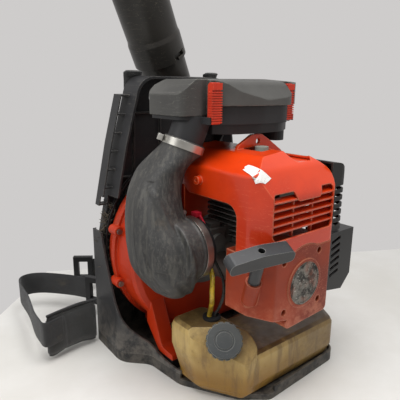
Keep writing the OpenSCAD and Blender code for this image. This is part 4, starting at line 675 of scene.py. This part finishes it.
def plump(name, node, material, voxel=0.005, shrink=0.003, cap=0.0045, pressure=4.0):
    """A CAD solid's form remeshed and filled out by cloth under pressure."""
    mesh = NODE[node].data.copy()
    piece = bpy.data.objects.new(name, mesh)
    scene.collection.objects.link(piece)
    work = bmesh.new()
    work.from_mesh(mesh)
    bmesh.ops.remove_doubles(work, verts=work.verts, dist=2e-5)
    bmesh.ops.recalc_face_normals(work, faces=work.faces)
    work.normal_update()
    for vertex in work.verts:
        vertex.co -= vertex.normal * shrink
    work.to_mesh(mesh)
    work.free()
    remesh = piece.modifiers.new("remesh", "REMESH")
    remesh.mode = "VOXEL"
    remesh.voxel_size = voxel
    evaluated_copy(piece)
    rest = coordinates(piece.data)
    cloth = piece.modifiers.new("cloth", "CLOTH")
    cloth.settings.quality = 5
    cloth.settings.mass = 0.3
    cloth.settings.tension_stiffness = 12
    cloth.settings.compression_stiffness = 12
    cloth.settings.bending_stiffness = 0.4
    cloth.settings.use_pressure = True
    cloth.settings.uniform_pressure_force = pressure
    cloth.settings.effector_weights.gravity = 0
    cloth.point_cache.frame_end = 20
    for step in range(1, 21):
        scene.frame_set(step)
    evaluated_copy(piece)
    scene.frame_set(1)
    moved = coordinates(piece.data) - rest
    far = np.linalg.norm(moved, axis=1, keepdims=True)
    points = rest + moved * np.minimum(1, cap / np.maximum(far, 1e-9))
    piece.data.vertices.foreach_set("co", points.ravel())
    smooth = piece.modifiers.new("smooth", "SMOOTH")
    smooth.factor = 0.5
    smooth.iterations = 2
    finer = piece.modifiers.new("finer", "SUBSURF")
    finer.levels = finer.render_levels = 1
    evaluated_copy(piece)
    piece.data.materials.clear()
    piece.data.materials.append(material)
    for polygon in piece.data.polygons:
        polygon.use_smooth = True
    return piece


def along_route(path, p):
    """Distance along a ground route of the point nearest p, in metres."""
    best, found, run = 1e9, 0.0, 0.0
    for a, b in zip(path, path[1:]):
        span = b - a
        flat = Vector((p.x - a.x, p.y - a.y, 0))
        t = min(1.0, max(0.0, flat.dot(span) / span.length_squared))
        gap = (flat - span * t).length
        if gap < best:
            best, found = gap, run + t * span.length
        run += span.length
    return found


UPRIGHT = (0.13, 0.21, 0.97)


def cord_tube(name, path, r, material):
    rings = [circle(p, travel_at(path, i), r, 10, side=UPRIGHT) for i, p in enumerate(path)]
    vertices, faces = loft(rings)
    return new_piece(name, vertices, faces, material)


def stitches(name, paths, dash=0.0034, gap=0.0022, r=0.00045):
    """Rows of thread, each dash a small rounded bar."""
    vertices, faces = [], []
    for path in paths:
        lengths = [0.0]
        for a, b in zip(path, path[1:]):
            lengths.append(lengths[-1] + (b - a).length)
        at = 0.001
        while at + dash < lengths[-1]:
            ends = []
            for s in (at, at + dash / 2, at + dash):
                i = max(k for k in range(len(path)) if lengths[k] <= s)
                i = min(i, len(path) - 2)
                t = (s - lengths[i]) / max(1e-9, lengths[i + 1] - lengths[i])
                ends.append(path[i].lerp(path[i + 1], t))
            rings = [circle(p, ends[2] - ends[0], r * w, 6, side=UPRIGHT)
                     for p, w in zip(ends, (0.5, 1.0, 0.5))]
            v, f = loft(rings)
            faces += [tuple(i + len(vertices) for i in face) for face in f]
            vertices += v
            at += dash + gap
    return new_piece(name, vertices, faces, thread)


def back_cushion():
    """Five sewn channels across the pad."""
    piece = plump("back_cushion", "back_pad", pad_mesh)
    low, high, channels = 112 * MM, 404 * MM, 5
    middle, back_face = 10 * MM, 6.4 * MM

    def channel(p, normal):
        """Sewn channels on the wearer's side; nothing sinks below the face that lies on the frame."""
        q = FRAME_BACK @ p
        t = (q.z - low) / (high - low) * channels
        off = abs(t - round(t)) * (high - low) / channels
        sewn = 0 < round(t) < channels and q.y > middle
        moved = normal * (groove(off, 7 * MM, 2.2 * MM) if sewn else 0.0)
        under = back_face - (FRAME_BACK @ (p + moved)).y
        return moved + (FRAME_TURN.to_3x3() @ Vector((0, under, 0)) if under > 0 else Vector())

    shape(piece, channel)
    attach(piece, "machine")
    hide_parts("back_pad")


def shoulder_pad(side, x, half_w):
    """A strap pad with a seam beside each edge."""
    inset = 6
    name = side + "_shoulder_pad"
    piece = plump(name, side + "_shoulder_strap", strap_cloth, voxel=0.004, shrink=0.0022, cap=0.003)

    def seam(p, normal):
        q = FRAME_BACK @ p
        off = abs(abs(q.x - x * MM) - (half_w - inset) * MM)
        return normal * groove(off, 3 * MM, 1.2 * MM)

    shape(piece, seam)
    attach(piece, "machine")
    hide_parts(side + "_shoulder_strap")


def hip_wing(side, points, high):
    """A hip pad that stands on the ground, with a sewn end panel, a bound top and a stitched line."""
    piece = plump(side + "_hip_cushion", side + "_hip_pad", pad_cloth)
    path = catmull([(x * MM, y * MM, 0) for x, y in points], 6)
    total = along_route(path, Vector(path[-1]))

    panel_end = total - 40 * MM
    low_seam, high_seam, ground = 12 * MM, (high - 12) * MM, 0.3 * MM

    def panel(p, normal):
        drop = groove(along_route(path, p) - panel_end, 3 * MM, 1.6 * MM) if p.z < high_seam else 0.0
        drop += groove(p.z - high_seam, 2.8 * MM, 1.4 * MM)
        drop += groove(p.z - low_seam, 2.8 * MM, 1.4 * MM)
        moved = normal * drop
        return moved + Vector((0, 0, max(0, ground - (p + moved).z)))

    shape(piece, panel)
    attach(piece, "machine")
    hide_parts(side + "_hip_pad")


def ribbon(path, width, thick):
    """A strap standing on edge along a route, with rounded selvedges, and its width and length as UVs."""
    half, t = width / 2, thick / 2
    section = [(-half, 0), (-half + t, -t), (-half / 3, -t * 0.9), (half / 3, -t * 0.9), (half - t, -t),
               (half, 0), (half - t, t), (half / 3, t * 0.9), (-half / 3, t * 0.9), (-half + t, t)]
    rings, uvs = [], []
    run = 0.0
    for i, p in enumerate(path):
        travel = travel_at(path, i)
        rise = (Vector((0, 0, 1)) - travel * travel.z).normalized()
        out = travel.cross(rise).normalized()
        run += (path[i] - path[i - 1]).length if i else 0.0
        rings.append([p + rise * a + out * b for a, b in section])
        uvs.append([(a + half, run) for a, b in section])
    return rings, uvs


NEAR_WEB = [(-252, 138.8), (-266, 135.4), (-279, 132.6), (-287.6, 134.5), (-290, 142), (-289.4, 152),
            (-286, 190), (-272, 262), (-262, 345), (-240, 367), (-207, 354), (-165, 306), (-142, 268)]
FAR_WEB = [(-20.0, 318.8), (-48, 344), (-78, 366)]
NEAR_WEB_Z, FAR_WEB_Z = 63, 61
WEB_WIDTH, WEB_THICK = 49.8 * MM, 2.6 * MM


def hip_webbing():
    """The two lengths of hip webbing in one piece, standing on edge."""
    vertices, faces, corners = [], [], []
    for points, middle in ((NEAR_WEB, NEAR_WEB_Z), (FAR_WEB, FAR_WEB_Z)):
        path = catmull([(x * MM, y * MM, middle * MM) for x, y in points], 10)
        rings, uvs = ribbon(path, WEB_WIDTH, WEB_THICK)
        v, f = loft(rings)
        base = len(vertices)
        faces += [tuple(i + base for i in face) for face in f]
        vertices += v
        corners += [uv for ring in uvs for uv in ring]
    piece = new_piece("hip_webbing", vertices, faces, black_web)
    layer = piece.data.uv_layers.new(name="size")
    for loop in piece.data.loops:
        layer.data[loop.index].uv = corners[loop.vertex_index]
    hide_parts("hip_belt")


LEFT_ROUTE = [(-174.5, 152), (-205, 158), (-245, 154), (-283, 146)]
RIGHT_ROUTE = [(149.5, 171.9), (90, 200), (30, 262), (-20, 318)]
LEFT_TOP, RIGHT_TOP = 95, 93
back_cushion()
shoulder_pad("left", -85, 24)
shoulder_pad("right", 104, 23)
hip_wing("left", LEFT_ROUTE, LEFT_TOP)
hip_wing("right", RIGHT_ROUTE, RIGHT_TOP)
hip_webbing()


# ---------------------------------------------------------------- sticker, debris and sewing

def seen_at(x, y):
    """The line of sight through a point of the picture, in pixels from its top left corner."""
    middle = PICTURE / 2
    return (ahead + right * (x - middle) / FOCAL - up * (y - middle) / FOCAL).normalized()


# outline of the torn sticker in the picture, in pixels
STICKER = [(242.6, 169.8), (244.8, 169.4), (244.6, 167.2), (248.6, 165.2), (253, 166.4), (258, 168.4),
           (262, 170.6), (266, 173.8), (271, 178.6), (268.6, 181.2), (265, 184.2), (260.4, 182.6),
           (255.6, 184.0), (254.4, 181.0), (256.6, 178.4), (252.0, 176.6), (249.0, 174.2), (246.6, 172.8)]
STICKER_LIFT = 0.7 * MM


def sticker():
    """The torn rest of a blank white sticker on the engine cover."""
    shell = NODE["engine_cover"]
    home = shell.matrix_world
    tree = BVHTree.FromObject(shell, bpy.context.evaluated_depsgraph_get())
    inside = home.inverted()
    work = bmesh.new()
    face = work.faces.new([work.verts.new((x, y, 0)) for x, y in STICKER])
    bmesh.ops.triangulate(work, faces=[face])
    for _ in range(4):
        bmesh.ops.subdivide_edges(work, edges=work.edges, cuts=1)
    for vertex in work.verts:
        line = seen_at(vertex.co.x, vertex.co.y)
        hit, normal, _, _ = tree.ray_cast(inside @ EYE, inside.to_3x3() @ line)
        if hit is None:
            work.free()
            return
        vertex.co = home @ (hit + normal * STICKER_LIFT)
    bmesh.ops.recalc_face_normals(work, faces=work.faces)
    mesh = bpy.data.meshes.new("torn_sticker")
    work.to_mesh(mesh)
    work.free()
    s = Shader("sticker_film")
    patch = s.noise(420.0, 6.0, 0.7)
    s.set("Base Color", s.mix(s.span(patch, 0.56, 0.66), rgb(238, 236, 232), rgb(196, 190, 182)))
    s.set("Roughness", 0.35)
    mesh.materials.append(s.material)
    piece = bpy.data.objects.new("torn_sticker", mesh)
    scene.collection.objects.link(piece)
    for polygon in mesh.polygons:
        polygon.use_smooth = True
    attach(piece, "machine")


FAN_Z = 0.205
STALKS = 220


def leaf_scraps():
    """Dry stalks and leaf scraps caught in the rim of the inlet guard."""
    dice = Random(5)
    vertices, faces = [], []
    for _ in range(STALKS):
        a = radians(dice.uniform(150, 214))
        r = dice.uniform(0.152, 0.166)
        foot = Vector((r * cos(a), dice.uniform(0.128, 0.142), FAN_Z + r * sin(a)))
        lean = Vector((cos(a) * dice.uniform(0.2, 1.4) + dice.uniform(-0.5, 0.2), dice.uniform(-0.5, 0.8),
                       sin(a) * 0.5 + dice.uniform(-1, 1))).normalized()
        long, wide = dice.uniform(0.007, 0.018), dice.uniform(0.0007, 0.0017)
        bend = Vector((dice.uniform(-1, 1), dice.uniform(-1, 1), dice.uniform(-1, 1))) * long * 0.2
        rings = [circle(foot + lean * long * t + bend * t * t, lean, wide * (1 - 0.8 * t), 5,
                        side=(0.31, 0.77, 0.2)) for t in (0, 0.35, 0.7, 1)]
        v, f = loft(rings)
        faces += [tuple(i + len(vertices) for i in face) for face in f]
        vertices += v
    scrap = plastic("dry_stalks", rgb(104, 96, 84), rgb(52, 46, 38), dirty=0.3, rough=0.9, edge=0.0003)
    new_piece("leaf_scraps", vertices, faces, scrap)


def sewing():
    """A bound top edge on each hip pad, and box stitches where the webbing is sewn on."""
    sink, binding_r, web_middle = 4.2, 2.6 * MM, 10 * MM
    for side, points, top in (("left", LEFT_ROUTE, LEFT_TOP), ("right", RIGHT_ROUTE, RIGHT_TOP)):
        path = catmull([(x * MM, y * MM, (top - sink) * MM) for x, y in points], 10)
        piece = cord_tube(side + "_pad_binding", path[1:-2], binding_r, black_web)
        layer = piece.data.uv_layers.new(name="size")
        for loop in piece.data.loops:
            layer.data[loop.index].uv = (web_middle, piece.data.vertices[loop.vertex_index].co.x)
    (ax, ay), (bx, by), low, high = (-254, 136.9), (-277, 131.6), 44, 82
    a, b, c, d = (Vector(p) * MM for p in ((ax, ay, low), (bx, by, low), (bx, by, high), (ax, ay, high)))
    stitches("belt_stitches", [[a, b], [d, c], [a, d], [b, c], [a, c], [d, b]])


sticker()
leaf_scraps()
sewing()


# ---------------------------------------------------------------- floor and light

TABLE_CORNERS = [(-0.125, 0.556), (-2.35, -1.64), (0.4, -4.6), (4.0, -1.72)]


def floor():
    """The pale table top, whose far edges show as in the photograph."""
    s = Shader("table_top")
    mottle = s.noise(3.0, 6.0, 0.6)
    colour = s.mix(s.span(mottle, 0.35, 0.7), rgb(233, 231, 227), rgb(221, 218, 212))
    speck = s.noise(60.0, 8.0, 0.75)
    colour = s.mix(s.math("MULTIPLY", s.span(speck, 0.66, 0.74), 0.4), colour, rgb(170, 158, 140))
    s.set("Base Color", colour)
    s.set("Roughness", 0.55)
    mesh = bpy.data.meshes.new("table")
    mesh.from_pydata([(x, y, 0.0) for x, y in TABLE_CORNERS], [], [(0, 1, 2, 3)])
    table = bpy.data.objects.new("table", mesh)
    scene.collection.objects.link(table)
    mesh.materials.append(s.material)


def lamp(name, at, target, size, power):
    data = bpy.data.lights.new(name, "AREA")
    data.shape = "SQUARE"
    data.size = size
    data.energy = power
    light = bpy.data.objects.new(name, data)
    light.location = at
    light.rotation_euler = (Vector(target) - Vector(at)).to_track_quat("-Z", "Y").to_euler()
    scene.collection.objects.link(light)


def world():
    """Soft white light on the object; the camera and mirrored rays see a pale grey wall."""
    back = bpy.data.worlds.new("room")
    back.use_nodes = True
    tree = back.node_tree
    shade = tree.nodes["Background"]
    wall = tree.nodes.new("ShaderNodeBackground")
    wall.inputs["Color"].default_value = rgb(206, 204, 203)
    wall.inputs["Strength"].default_value = 1.0
    shade.inputs["Color"].default_value = (1, 1, 1, 1)
    shade.inputs["Strength"].default_value = 0.36
    seen = tree.nodes.new("ShaderNodeLightPath")
    mix = tree.nodes.new("ShaderNodeMixShader")
    rays = seen.outputs["Is Camera Ray"]
    for other in ("Is Glossy Ray", "Is Transmission Ray"):
        either = tree.nodes.new("ShaderNodeMath")
        either.operation = "MAXIMUM"
        tree.links.new(rays, either.inputs[0])
        tree.links.new(seen.outputs[other], either.inputs[1])
        rays = either.outputs[0]
    tree.links.new(rays, mix.inputs[0])
    tree.links.new(shade.outputs[0], mix.inputs[1])
    tree.links.new(wall.outputs[0], mix.inputs[2])
    tree.links.new(mix.outputs[0], tree.nodes["World Output"].inputs["Surface"])
    scene.world = back


floor()
world()
lamp("overhead", (-0.25, -0.35, 1.9), (0, -0.05, 0.25), 1.2, 31)
lamp("side", (-1.5, 0.2, 1.0), (0, 0, 0.25), 0.9, 7)

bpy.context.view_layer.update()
